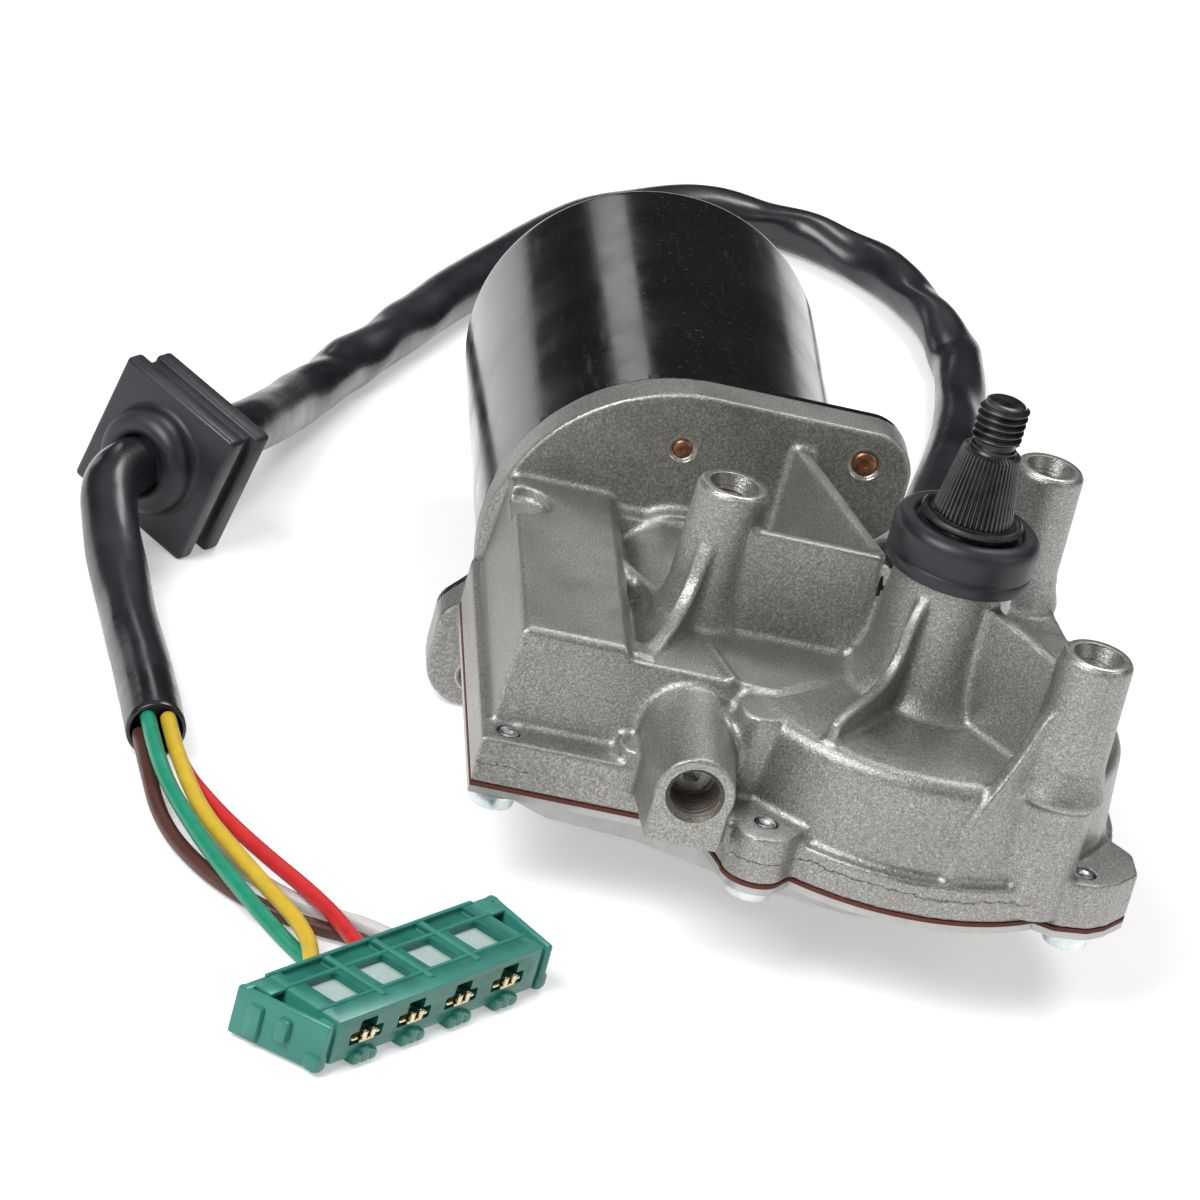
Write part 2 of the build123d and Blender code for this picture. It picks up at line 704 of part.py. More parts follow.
def brush_springs():
    """Three coil springs that press the brushes on."""
    start = commutator_radius + brush_gap + brush_size[2]
    end = commutator_radius + brush_box_start - 1.1 + brush_size[2] + spring_length - 1
    coil = Rot(0, 90, 0) * Cylinder(spring_radius, end - start, align=standing)
    return [frame * Pos(start, 0, 0) * coil for frame in brush_frames()]


def motor_screws():
    """Two screws that hold the can to the casting."""
    back = plate_front + plate_thickness + can_flange_thickness
    screws = []
    for x, z in ear_points():
        head = along_y(x, z, back) * extrude(RegularPolygon(4.4, 6), 3.6)
        screws.append(head + rod_y(x, z, plate_front + 0.6, back, screw_shank_radius + 0.6))
    return screws


def brush_plate_screws():
    """Three screws that hold the brush plate to the casting."""
    back = brush_plate_start
    return [rod_y(x, z, back, back + 1.8, 3.4) + rod_y(x, z, plate_front + 0.6, back, plate_screw_radius)
            for x, z in plate_screw_points()]


def thrust_ball():
    """Steel ball that the front end of the shaft runs against."""
    touch = front_bush_start + 0.4 - running_gap
    return Pos(armature_x, touch - thrust_ball_radius, armature_z) * Sphere(thrust_ball_radius)


def thrust_screw():
    """Grub screw behind the front bore that sets the armature's end float."""
    end = front_bush_start + 0.4 - running_gap - 2 * thrust_ball_radius
    start = end - thrust_screw_length
    grub = axle(start, end, thrust_screw_radius)
    return grub - along_y(armature_x, armature_z, start - 0.5) * extrude(RegularPolygon(2.2, 6), 3.0)


def park_contacts():
    """Park switch contact fingers fixed in the terminal block's cavity."""
    left, right, front, back, roof = block_cavity()
    middle_x, middle_y = (left + right) / 2, (front + back) / 2
    carrier = Pos(middle_x, middle_y, roof - 6.0) * Box(right - left - 2, 40.0, 12.0)
    finger = Box(right - left - 6, 5.0, 5.0)
    fingers = [Pos(middle_x, middle_y + offset, roof - 14.0) * finger for offset in (-12, 0, 12)]
    return carrier + fingers


def cable_gland():
    """Rubber gland in the casting wall, with a tapered strain relief."""
    gland = rod_y(gland_x, gland_z, 41.2, gland_seat, gland_plug_radius)
    gland += rod_y(gland_x, gland_z, gland_seat, gland_seat + gland_flange_thickness, gland_flange_radius)
    tail = Cone(gland_flange_radius - 1.2, gland_tail_radius, gland_tail_length, align=standing)
    gland += along_y(gland_x, gland_z, gland_seat + gland_flange_thickness) * tail
    return gland


# --- Cable routes, from the working datum -----------------------------------------------------
ground = armature_z - plate_ear_height
gland_exit = gland_seat + gland_flange_thickness + gland_tail_length
sleeve_z = ground + sleeve_radius
wire_z = ground + wire_radius
grommet_z = ground + grommet_height
rear_route = [(gland_x, gland_exit, gland_z), (5.6, 88.0, 10.6), (8.0, 115.0, 3.0), (15.0, 141.0, -10.0),
              (25.0, 168.0, sleeve_z), (35.0, 202.0, sleeve_z), (42.5, 236.0, sleeve_z),
              (47.0, 267.0, sleeve_z), (47.0, 291.0, sleeve_z), (43.0, 314.0, sleeve_z),
              (32.0, 334.0, sleeve_z), (14.0, 347.0, sleeve_z), (-8.0, 349.0, sleeve_z),
              (-27.0, 339.0, sleeve_z), (-43.0, 321.0, sleeve_z), (-55.0, 301.0, sleeve_z),
              (-67.0, 278.0, sleeve_z), (-80.0, 253.0, sleeve_z), (-93.0, 225.0, sleeve_z),
              (-109.0, 191.0, sleeve_z), (-120.0, 160.0, -13.6), grommet_point(grommet_depth + 16),
              grommet_point(grommet_depth)]
front_route = [grommet_point(-grommet_collar), grommet_point(-grommet_collar - 9), (-155.8, 78.0, -11.8),
               (-152.0, 62.0, -15.6), (-148.6, 42.0, sleeve_z), (-146.0, 24.0, sleeve_z), sleeve_end]


def grommet_frame():
    """Placement of the grommet: local Z leaves its front face, local X runs along its lower edge."""
    return Plane(origin=grommet_point(0), x_dir=(-grommet_heading[1], grommet_heading[0], 0),
                 z_dir=(grommet_heading[0], grommet_heading[1], 0))


def grommet():
    """Square rubber grommet with a groove for the panel and a collar round the sleeve."""
    def plate(start, depth, size):
        return Pos(0, 0, start) * extrude(RectangleRounded(size, size, 2.0), -depth)

    front, groove = grommet_groove
    body = plate(0, front, grommet_size) + plate(-front, groove - front, grommet_size - 8)
    body += plate(-groove, grommet_depth - groove, grommet_size - 1)
    body = chamfer(body.edges().group_by(Axis.Z)[-1], 0.8)
    collar = Cylinder(grommet_collar_radius, grommet_collar, align=standing)
    collar = fillet(collar.edges().sort_by(Axis.Z)[-1], 3.6)
    body += collar
    return grommet_frame() * Rot(0, 0, grommet_tilt) * body


def connector_frame():
    """Placement of the connector: local X along it, local Y towards the wires, local Z up."""
    origin = (connector_centre[0], connector_centre[1], ground)
    return Plane(origin=origin, x_dir=connector_heading, z_dir=(0, 0, 1))


def connector_point(along, height, inside=0.0):
    """Point on the wire side of the connector, at a distance along it from its middle."""
    point = connector_frame().from_local_coords(Vector(along, connector_depth / 2 - inside, height))
    return (point.X, point.Y, point.Z)


def terminal_places():
    """Distances of the four terminals from the connector's middle."""
    return [connector_pitch * (index - 1.5) for index in range(4)]


def connector_housing():
    """Flat plug housing with four cells, windows over them and a latch at each end."""
    length, depth, height = connector_length, connector_depth, connector_height
    back, front = depth / 2, -depth / 2
    lift = 1.2
    body = Pos(0, 0, lift) * Box(length - 2 * latch_reach, depth, height - lift, align=standing)
    body = fillet(body.edges().filter_by(Axis.Z), 1.5)
    for place in terminal_places():
        body -= Pos(place, front, 2.4) * Box(8.6, 14.0, height - 4.6, align=standing)
        body -= Pos(place, 1.6, height - 1.8) * Box(9.6, 9.6, 3, align=standing)
        body += Pos(place, front + 1.4, 0) * Box(6.0, 4.4, 2.0, align=standing)
    for side in (-1, 1):
        end = length / 2
        arm = Pos(side * (end - 4.6), -0.6, 0) * Box(2.6, depth - 1, height, align=standing)
        root = Pos(side * (end - 6.0), front + 3.5, 1.0) * Box(6.0, 5.0, height - 2, align=standing)
        hook = Pos(side * (end - 2.2), back - 4.0, 0.6) * Box(4.4, 5.0, height - lift, align=standing)
        body += arm + root + hook
    return connector_frame() * body


def connector_terminals():
    """Four brass spring terminals in the housing's cells."""
    clip = Box(4.6, 6.0, 3.0, align=standing)
    return [connector_frame() * Pos(place, 4.0 - connector_depth / 2, 2.4) * clip
            for place in terminal_places()]


def wire_exit(angle, distance=0.0):
    """Point on a wire's axis where it leaves the open end of the sleeve, at a distance from it."""
    across = wire_circle * math.cos(math.radians(angle))
    up = wire_circle * math.sin(math.radians(angle))
    heading = (Vector(*sleeve_end) - Vector(*front_route[-2])).normalized()
    side = Vector(0, 0, 1).cross(heading)
    point = Vector(*sleeve_end) + heading * distance + side * across + Vector(0, 0, up)
    return (point.X, point.Y, point.Z)


wire_routes = {
    "wire_yellow": [wire_exit(60), wire_exit(60, 12), (-134.7, -27.1, -16.6), (-127.6, -41.8, -16.6),
                    (-120.6, -55.0, -16.6), (-115.0, -65.0, -16.6), (-112.2, -75.0, -16.8),
                    connector_point(-17.0, 6.4, 1.5)],
    "wire_green": [wire_exit(132), wire_exit(132, 12), (-140.4, -20.0, -17.4), (-133.0, -39.5, -18.0),
                   (-125.5, -54.5, -18.3), (-118.4, -66.0, -19.4), (-112.5, -72.5, -20.6),
                   connector_point(-9.5, 3.2, 1.5)],
    "wire_brown": [wire_exit(204), wire_exit(204, 12), (-141.0, -27.0, wire_z), (-133.0, -42.5, wire_z),
                   (-122.5, -52.5, wire_z), (-111.4, -56.6, wire_z), (-101.5, -57.4, wire_z),
                   connector_point(12.0, 1.8, 1.5)],
    "wire_white": [wire_exit(276), wire_exit(276, 10), (-135.0, -24.5, wire_z), (-127.5, -36.5, wire_z),
                   (-118.5, -45.5, wire_z), (-108.5, -50.6, wire_z), (-98.0, -52.0, wire_z),
                   connector_point(17.5, 2.4, 1.5)],
    "wire_red": [wire_exit(348), wire_exit(348, 12), (-131.0, -24.0, -18.0), (-122.0, -37.5, -18.0),
                 (-112.5, -49.5, -18.0), (-106.0, -60.0, -18.0), connector_point(0.5, 5.6, 1.5)],
}


def cord_path(route, share=0.45):
    """Straight runs joined by tangent arcs, one radius for each corner."""
    points = [Vector(*point) for point in route]
    radii = []
    for before, corner, after in zip(points, points[1:], points[2:]):
        turn = (corner - before).get_angle(after - corner)
        shorter = min((corner - before).length, (after - corner).length)
        radii.append(share * shorter / math.tan(math.radians(turn / 2)))
    return FilletPolyline(*points, radius=radii)


def tube(route, radius):
    """Round cord along a route, with its length and volume printed as a check."""
    path = cord_path(route)
    start = Vector(*route[0])
    section = Plane(origin=start, z_dir=Vector(*route[1]) - start) * Circle(radius)
    cord = sweep(section, path=path)
    ratio = cord.volume / (math.pi * radius ** 2 * path.length)
    print("  length", round(path.length, 1), "volume ratio", round(ratio, 4))
    return cord


def pieces():
    """Every node of the assembly, by name."""
    nodes = {
        "gear_housing": gear_housing(),
        "cover_gasket": cover_gasket(),
        "bottom_cover": bottom_cover(),
        "cover_screws": cover_screws(),
        "motor_can": motor_can(),
        "field_magnets": field_magnets(),
        "armature_shaft": armature_shaft(),
        "armature_core": armature_core(),
        "armature_windings": armature_windings(),
        "commutator": commutator(),
        "front_bearing": bearing(front_bush_start, front_bush_length, front_bush_radius,
                                 front_journal_radius),
        "middle_bearing": bearing(plate_front + 1, bearing_length, bearing_radius, shaft_radius),
        "rear_bearing": bearing(can_end - can_wall - bearing_length, bearing_length, bearing_radius,
                                shaft_radius),
        "thrust_screw": thrust_screw(),
        "thrust_ball": thrust_ball(),
        "brush_plate": brush_plate(),
        "brushes": brushes(),
        "brush_springs": brush_springs(),
        "motor_screws": motor_screws(),
        "brush_plate_screws": brush_plate_screws(),
        "worm_wheel": worm_wheel(),
        "output_shaft": output_shaft(),
        "shaft_collar": shaft_collar(),
        "upper_shaft_bush": shaft_bush(column_top - bush_length - 1),
        "lower_shaft_bush": shaft_bush(roof_height),
        "thrust_washer": thrust_washer(),
        "rubber_cap": rubber_cap(),
        "park_contacts": park_contacts(),
        "cable_gland": cable_gland(),
    }
    return nodes


def cable_pieces():
    """The cable and what is on it, by name."""
    housing = connector_housing()
    nodes = {
        "cable_sleeve_rear": tube(rear_route, sleeve_radius),
        "cable_sleeve_front": tube(front_route, sleeve_radius),
        "grommet": grommet(),
        "connector_housing": housing,
        "connector_terminals": connector_terminals(),
    }
    for name, route in wire_routes.items():
        nodes[name] = tube(route, wire_radius) - housing
    return nodes


def write(nodes, cords):
    """Move the pieces to the origin under the middle of the motor and write one STEP file each."""
    os.makedirs("parts", exist_ok=True)
    body = Compound([solid for piece in nodes.values() for solid in solids_of(piece)]).bounding_box()
    origin = Pos(-(body.min.X + body.max.X) / 2, -(body.min.Y + body.max.Y) / 2, -body.min.Z)
    print("datum moved by", origin.position, "size", body.size)
    for name, piece in {**nodes, **cords}.items():
        solids = [origin * solid for solid in solids_of(piece)]
        export_step(solids[0] if len(solids) == 1 else Compound(solids), f"parts/{name}.step")


def solids_of(piece):
    """The separate solids of a piece or of a list of pieces."""
    group = piece if isinstance(piece, (list, tuple)) else [piece]
    return [solid for item in group for solid in item.solids()]


if __name__ == "__main__":
    write(pieces(), cable_pieces())
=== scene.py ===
"""Wiper motor: die-cast gear housing, black motor can, output shaft, sleeved cable and plug."""
import logging
import math
from dataclasses import dataclass, field
from enum import Enum
from typing import Optional, Sequence

import bmesh
import bpy
from mathutils import Euler, Matrix, Vector, noise


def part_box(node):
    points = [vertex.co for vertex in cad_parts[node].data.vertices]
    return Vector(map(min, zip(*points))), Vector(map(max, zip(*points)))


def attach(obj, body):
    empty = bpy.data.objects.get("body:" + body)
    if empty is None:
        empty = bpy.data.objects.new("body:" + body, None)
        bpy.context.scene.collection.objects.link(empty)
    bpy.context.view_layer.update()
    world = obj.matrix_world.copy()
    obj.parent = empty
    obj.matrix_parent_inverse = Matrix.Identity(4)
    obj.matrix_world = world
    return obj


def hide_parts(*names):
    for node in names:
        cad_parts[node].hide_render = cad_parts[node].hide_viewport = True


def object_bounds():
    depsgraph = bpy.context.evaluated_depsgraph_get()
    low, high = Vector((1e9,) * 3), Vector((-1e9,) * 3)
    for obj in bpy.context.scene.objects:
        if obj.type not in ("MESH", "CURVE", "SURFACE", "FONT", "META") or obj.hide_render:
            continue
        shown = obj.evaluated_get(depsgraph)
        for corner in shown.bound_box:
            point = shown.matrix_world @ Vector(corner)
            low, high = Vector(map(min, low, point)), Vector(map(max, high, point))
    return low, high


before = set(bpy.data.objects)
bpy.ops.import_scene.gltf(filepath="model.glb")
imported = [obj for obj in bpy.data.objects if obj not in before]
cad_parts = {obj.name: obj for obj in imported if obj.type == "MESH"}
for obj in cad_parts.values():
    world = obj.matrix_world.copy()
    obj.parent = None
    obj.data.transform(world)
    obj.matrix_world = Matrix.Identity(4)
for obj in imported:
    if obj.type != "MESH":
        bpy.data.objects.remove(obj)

Piece = bpy.types.Object
Socket = bpy.types.NodeSocket
Sockets = bpy.types.NodeOutputs
Masks = tuple[Socket, ...]
Point = tuple[float, float, float]
Ring = tuple[float, float]
Colour = tuple[float, float, float, float]

LOG = logging.getLogger("wiper_motor")
CAD_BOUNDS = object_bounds()
MM = 0.001
ARMATURE_X, ARMATURE_Z = -45.5, 16.0
LID_SCREWS: tuple[Ring, ...] = ((-79.6, -21.4), (-29.3, -37.7), (35.0, -31.3), (31.0, 33.0), (-79.6, 44.0))


class Body(Enum):
    """Bodies of the frame that the new pieces ride on."""

    HOUSING = "housing"
    OUTPUT = "output"


class Datum:
    """Working datum: the output shaft's axis and the casting's cover face."""

    def __init__(self) -> None:
        """Reads the datum from the frame's own nodes."""
        low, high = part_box("output_shaft")
        self.x = (low[0] + high[0]) / 2
        self.y = (low[1] + high[1]) / 2
        self.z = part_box("cover_gasket")[1][2]

    def place(self, point: Sequence[float]) -> Vector:
        """Turns metres from the datum into a place in the frame."""
        return Vector((point[0] + self.x, point[1] + self.y, point[2] + self.z))

    def at(self, x: float, y: float, z: float) -> Vector:
        """Turns millimetres from the datum into a place in the frame."""
        return self.place((x * MM, y * MM, z * MM))


DATUM = Datum()


def rgb(red: float, green: float, blue: float) -> Colour:
    """Opaque linear colour."""
    return (red, green, blue, 1.0)


def axle(start: float) -> Matrix:
    """Placement of a piece turned about Z on to the armature axis, its foot at a Y in millimetres."""
    return Matrix.Translation(DATUM.at(ARMATURE_X, start, ARMATURE_Z)) @ Matrix.Rotation(-math.pi / 2, 4, "X")


def upright(x: float, y: float, z: float = 0.0) -> Matrix:
    """Placement of a piece turned about Z on to a point from the datum, in millimetres."""
    return Matrix.Translation(DATUM.at(x, y, z))


def set_down(centre: Point, *axes: Vector) -> Matrix:
    """Placement of a piece by a point from the datum, in millimetres, and the directions of its axes."""
    return Matrix.Translation(DATUM.at(*centre)) @ Matrix(axes).transposed().to_4x4()


# --- Node trees and the groups that the finishes share ---
class Tree:
    """Short hand for building a node tree."""

    def __init__(self, tree: bpy.types.NodeTree) -> None:
        """Wraps one node tree."""
        self.tree = tree

    def add(self, kind: str, inputs: Optional[dict] = None, **values: object) -> bpy.types.Node:
        """Adds a node.

        Args:
            kind: type name of the node.
            inputs: values or source sockets of its inputs, by name or number.
            values: properties of the node.
        Returns:
            The new node.
        """
        node = self.tree.nodes.new(kind)
        for name, value in values.items():
            setattr(node, name, value)
        for key, value in (inputs or {}).items():
            self.feed(node.inputs[key], value)
        return node

    def feed(self, target: Socket, value: object) -> None:
        """Links a socket to the target, or sets the target's own value."""
        if isinstance(value, Socket):
            self.tree.links.new(value, target)
        else:
            target.default_value = value

    def math(self, operation: str, first: object, second: object = 0.5) -> Socket:
        """Adds a maths node and returns its result."""
        return self.add("ShaderNodeMath", {0: first, 1: second}, operation=operation).outputs[0]

    def times(self, first: object, second: object) -> Socket:
        """Multiplies two numbers."""
        return self.math("MULTIPLY", first, second)

    def less(self, first: object, second: object) -> Socket:
        """Takes the second number from the first."""
        return self.math("SUBTRACT", first, second)

    def blend(self, share: object, first: object, second: object) -> Socket:
        """Mixes two colours by a share."""
        return self.add("ShaderNodeMix", {0: share, 6: first, 7: second}, data_type="RGBA").outputs[2]

    def ramp(self, value: object, low: object, high: object, least: float = 0.0, most: float = 1.0) -> Socket:
        """Spreads the range from low to high over least to most."""
        return self.add("ShaderNodeMapRange", {0: value, 1: low, 2: high, 3: least, 4: most}).outputs[0]

    def position(self) -> Socket:
        """Object coordinates."""
        return self.add("ShaderNodeTexCoord").outputs["Object"]

    def axes(self, vector: Socket) -> Sockets:
        """Splits a vector into its three numbers."""
        return self.add("ShaderNodeSeparateXYZ", {0: vector}).outputs

    def noise(self, vector: object, scale: object, detail: float, rough: float) -> Socket:
        """Adds a noise texture and returns its value."""
        return self.add("ShaderNodeTexNoise", {"Vector": vector, "Scale": scale, "Detail": detail,
                                               "Roughness": rough}).outputs[0]


class EffectGroup:
    """Base of the shader node groups: one effect with named inputs and outputs."""

    name = "effect"
    inputs: dict[str, float] = {}
    outputs: tuple[str, ...] = ("Mask",)
    group: Optional[bpy.types.NodeTree] = None

    def build(self) -> bpy.types.NodeTree:
        """Makes the group once and returns it."""
        if self.group is None:
            self.group = bpy.data.node_groups.new(self.name, "ShaderNodeTree")
            for way, labels in (("INPUT", self.inputs), ("OUTPUT", self.outputs)):
                for label in labels:
                    socket = self.group.interface.new_socket(name=label, in_out=way,
                                                             socket_type="NodeSocketFloat")
                    if way == "INPUT":
                        socket.default_value = self.inputs[label]
            tree = Tree(self.group)
            made = self.fill(tree, tree.add("NodeGroupInput").outputs)
            tree.add("NodeGroupOutput", dict(zip(self.outputs, made)))
        return self.group

    def fill(self, tree: Tree, given: Sockets) -> Masks:
        """Adds the effect's own nodes.

        Args:
            tree: the group's tree.
            given: what comes in through the group's inputs.
        Returns:
            What goes out, in the order of the outputs.
        """
        raise NotImplementedError

    def place(self, tree: Tree, **values: float) -> Sockets:
        """Puts the group into a material with its own values and returns its outputs."""
        node = tree.add("ShaderNodeGroup", node_tree=self.build())
        for label, value in values.items():
            tree.feed(node.inputs[label.replace("_", " ")], value)
        return node.outputs


class CastGrainAndGlints(EffectGroup):
    """Blasted casting skin: fine dark pits and sand over a soft mottle, with painted glints, bright specks that
    stand in for highlights.
    """

    name = "cast_grain_and_glints"
    inputs = {"Grain Scale": 1500.0, "Mottle Scale": 90.0}
    outputs = ("Pits", "Painted Glints", "Sand", "Mottle", "Height")

    def fill(self, tree: Tree, given: Sockets) -> Masks:
        """Reads three noises and spreads them into masks."""
        where = tree.position()
        fine = tree.noise(where, given["Grain Scale"], 3.0, 0.6)
        soft = tree.noise(where, given["Mottle Scale"], 4.0, 0.6)
        coarse = tree.noise(where, tree.times(given["Grain Scale"], 0.42), 2.0, 0.5)
        return (tree.ramp(coarse, 0.40, 0.28), tree.ramp(fine, 0.58, 0.72), tree.ramp(fine, 0.36, 0.62),
                tree.ramp(soft, 0.3, 0.7), tree.math("ADD", tree.times(soft, 0.35), fine))


class EdgeAndHollowMasks(EffectGroup):
    """Mask of the convex edges, broken up by noise, and of the hollows, which the cast aluminium darkens as
    painted shade.
    """

    name = "edge_and_hollow_masks"
    inputs = {"Low": 0.52, "High": 0.60, "Breakup": 0.5}
    outputs = ("Edge", "Painted Hollow Shade")

    def fill(self, tree: Tree, given: Sockets) -> Masks:
        """Reads the curvature and breaks it up."""
        bend = tree.add("ShaderNodeNewGeometry").outputs["Pointiness"]
        rough = tree.noise(tree.position(), 320.0, 4.0, 0.7)
        shade = tree.less(1.0, tree.times(rough, given["Breakup"]))
        return (tree.times(tree.ramp(bend, given["Low"], given["High"]), shade), tree.ramp(bend, 0.49, 0.42))


class PartingLine(EffectGroup):
    """Ragged line that the halves of the die leave round a casting, at one height."""

    name = "parting_line"
    inputs = {"Height": 0.0, "Wander": 0.0012, "Width": 0.00016}

    def fill(self, tree: Tree, given: Sockets) -> Masks:
        """Measures the distance to the wandering line and breaks it up."""
        where = tree.position()
        ragged = tree.less(tree.noise(where, 170.0, 6.0, 0.75), 0.5)
        shift = tree.times(ragged, tree.times(given["Wander"], 4.0))
        level = tree.less(tree.axes(where)[2], given["Height"])
        away = tree.math("ABSOLUTE", tree.less(level, shift))
        line = tree.less(1.0, tree.math("DIVIDE", away, given["Width"]))
        present = tree.ramp(tree.noise(where, 34.0, 1.0, 0.5), 0.44, 0.50)
        return (tree.times(tree.math("MAXIMUM", line, 0.0), present),)


class Dust(EffectGroup):
    """Loose dust that lies on faces that look up."""

    name = "dust"
    inputs = {"Scale": 700.0, "Amount": 0.5}

    def fill(self, tree: Tree, given: Sockets) -> Masks:
        """Multiplies the upward look by a speckle."""
        up = tree.axes(tree.add("ShaderNodeNewGeometry").outputs["Normal"])[2]
        spots = tree.ramp(tree.noise(tree.position(), given["Scale"], 3.0, 0.7), 0.60, 0.72)
        return (tree.times(tree.times(spots, tree.ramp(up, 0.0, 1.0)), given["Amount"]),)


class Scuffs(EffectGroup):
    """Fine directional scuffs and smears."""

    name = "scuffs"
    inputs = {"Scale": 120.0, "Stretch": 9.0}
    outputs = ("Mask", "Smear")

    def fill(self, tree: Tree, given: Sockets) -> Masks:
        """Stretches a noise into scuffs and adds a soft smear."""
        axes = tree.axes(tree.position())
        pulled = tree.math("DIVIDE", axes[1], given["Stretch"])
        where = tree.add("ShaderNodeCombineXYZ", {0: axes[0], 1: pulled, 2: axes[2]}).outputs[0]
        lines = tree.noise(where, tree.times(given["Scale"], 8.0), 2.0, 0.5)
        smear = tree.noise(tree.position(), given["Scale"], 4.0, 0.6)
        return (tree.ramp(lines, 0.66, 0.76), tree.ramp(smear, 0.35, 0.7))


GRAIN_AND_GLINTS, EDGE_AND_HOLLOW_MASKS, DUST, SCUFFS, SEAM = CastGrainAndGlints(), EdgeAndHollowMasks(), Dust(), Scuffs(), PartingLine()


# --- Finishes ---
class Surface(Tree):
    """Node tree of one material, with short hand for its Principled shader."""

    def __init__(self, material: bpy.types.Material) -> None:
        """Finds the shader."""
        super().__init__(material.node_tree)
        self.shader = material.node_tree.nodes["Principled BSDF"]

    def coat(self, body: Socket, *layers: tuple[Socket, float, Colour]) -> None:
        """Feeds the colour: a body under layers, each with its mask, share and colour."""
        for mask, share, colour in layers:
            body = self.blend(self.times(mask, share), body, colour)
        self.feed(self.shader.inputs["Base Color"], body)

    def gloss(self, value: Socket, low: float, high: float, least: float, most: float) -> None:
        """Feeds the roughness, from least to most as a value goes from low to high."""
        self.feed(self.shader.inputs["Roughness"], self.ramp(value, low, high, least, most))

    def relief(self, height: Socket, strength: float, distance: float) -> None:
        """Feeds the normal from a height and a depth in metres."""
        bump = self.add("ShaderNodeBump", {"Strength": strength, "Distance": distance, "Height": height})
        self.feed(self.shader.inputs["Normal"], bump.outputs[0])


class Finish:
    """Base of all finishes: makes one material and assigns it."""

    name = "finish"
    base: Colour = rgb(0.5, 0.5, 0.5)
    metallic = 0.0
    roughness = 0.5
    sockets: dict[str, object] = {}
    material: Optional[bpy.types.Material] = None

    def build(self) -> bpy.types.Material:
        """Makes the material once and returns it."""
        if self.material is None:
            self.material = bpy.data.materials.new(self.name)
            self.material.use_nodes = True
            surface = Surface(self.material)
            for label, value in {"Base Color": self.base, "Metallic": self.metallic,
                                 "Roughness": self.roughness, **self.sockets}.items():
                surface.shader.inputs[label].default_value = value
            self.dress(surface)
        return self.material

    def dress(self, surface: Surface) -> None:
        """Adds the finish's own detail.

        Args:
            surface: the material's node tree.
        """
        raise NotImplementedError

    def apply(self, piece: Piece) -> None:
        """Gives the whole piece this finish."""
        if piece.material_slots:
            for place in piece.material_slots:
                place.material = self.build()
        else:
            piece.data.materials.append(self.build())


class CastAluminium(Finish):
    """Blasted die-cast aluminium with a fine grained skin, painted glints, bright worn edges and painted shade
    in the hollows.
    """

    name = "cast_aluminium"
    base = rgb(0.34, 0.33, 0.305)
    metallic = 0.78
    roughness = 0.38
    seam_height = 0.0046

    def dress(self, surface: Surface) -> None:
        """Layers sand, pits, painted glints, worn edges, painted shade in the hollows, the parting line and
        dust over a mottle.
        """
        grain_and_glints = GRAIN_AND_GLINTS.place(surface, Grain_Scale=2500.0, Mottle_Scale=60.0)
        shape_masks = EDGE_AND_HOLLOW_MASKS.place(surface, Low=0.51, High=0.58, Breakup=0.6)
        dust = DUST.place(surface, Scale=420.0, Amount=0.12)
        seam = SEAM.place(surface, Height=DATUM.z + self.seam_height)["Mask"]
        mottle = surface.blend(grain_and_glints["Mottle"], rgb(0.35, 0.345, 0.325), rgb(0.47, 0.46, 0.435))
        surface.coat(surface.blend(grain_and_glints["Sand"], rgb(0.23, 0.225, 0.21), mottle),
                     (grain_and_glints["Pits"], 0.30, rgb(0.08, 0.076, 0.07)),
                     # painted glints: bright specks painted into the colour as highlights
                     (grain_and_glints["Painted Glints"], 0.38, rgb(0.85, 0.84, 0.80)),
                     (shape_masks["Edge"], 0.28, rgb(0.70, 0.69, 0.66)),
                     # painted shade: the hollows are darkened in the colour, where shade falls in the concave
                     # corners
                     (shape_masks["Painted Hollow Shade"], 0.65, rgb(0.12, 0.11, 0.09)),
                     (seam, 0.85, rgb(0.05, 0.045, 0.04)),
                     (dust["Mask"], 1.0, rgb(0.5, 0.47, 0.42)))
        surface.gloss(grain_and_glints["Mottle"], 0.0, 1.0, 0.32, 0.46)
        surface.relief(surface.less(grain_and_glints["Height"], surface.times(seam, 1.5)), 0.8, 0.00015)


class CanPaint(Finish):
    """Gloss black enamel with faint smears, scuffs and a few specks."""

    name = "can_paint"
    base = rgb(0.006, 0.006, 0.0065)
    roughness = 0.10
    sockets = {"Coat Weight": 0.2, "Coat Roughness": 0.08, "Specular IOR Level": 0.36}

    def dress(self, surface: Surface) -> None:
        """Adds smears to the gloss and specks to the colour."""
        scuffs = SCUFFS.place(surface, Scale=60.0, Stretch=10.0)
        dust = DUST.place(surface, Scale=900.0, Amount=0.2)
        surface.coat(surface.blend(surface.times(scuffs["Mask"], 0.25), self.base, rgb(0.09, 0.09, 0.09)),
                     (dust["Mask"], 1.0, rgb(0.25, 0.24, 0.22)))
        surface.gloss(scuffs["Smear"], 0.0, 1.0, 0.10, 0.24)
        surface.relief(surface.noise(surface.position(), 130.0, 2.0, 0.5), 0.10, 0.0004)


class Rubber(Finish):
    """Moulded black rubber, a little bloomed on its edges."""

    name = "black_rubber"
    base = rgb(0.022, 0.024, 0.028)

    def dress(self, surface: Surface) -> None:
        """Adds bloom on edges and a soft mottle."""
        shape_masks = EDGE_AND_HOLLOW_MASKS.place(surface, Low=0.505, High=0.57, Breakup=0.7)
        smear = SCUFFS.place(surface, Scale=90.0, Stretch=2.0)["Smear"]
        surface.coat(surface.blend(smear, rgb(0.008, 0.009, 0.013), rgb(0.020, 0.022, 0.029)),
                     (shape_masks["Edge"], 0.35, rgb(0.07, 0.074, 0.08)))
        surface.gloss(smear, 0.0, 1.0, 0.34, 0.58)
        surface.relief(smear, 0.12, 0.0003)


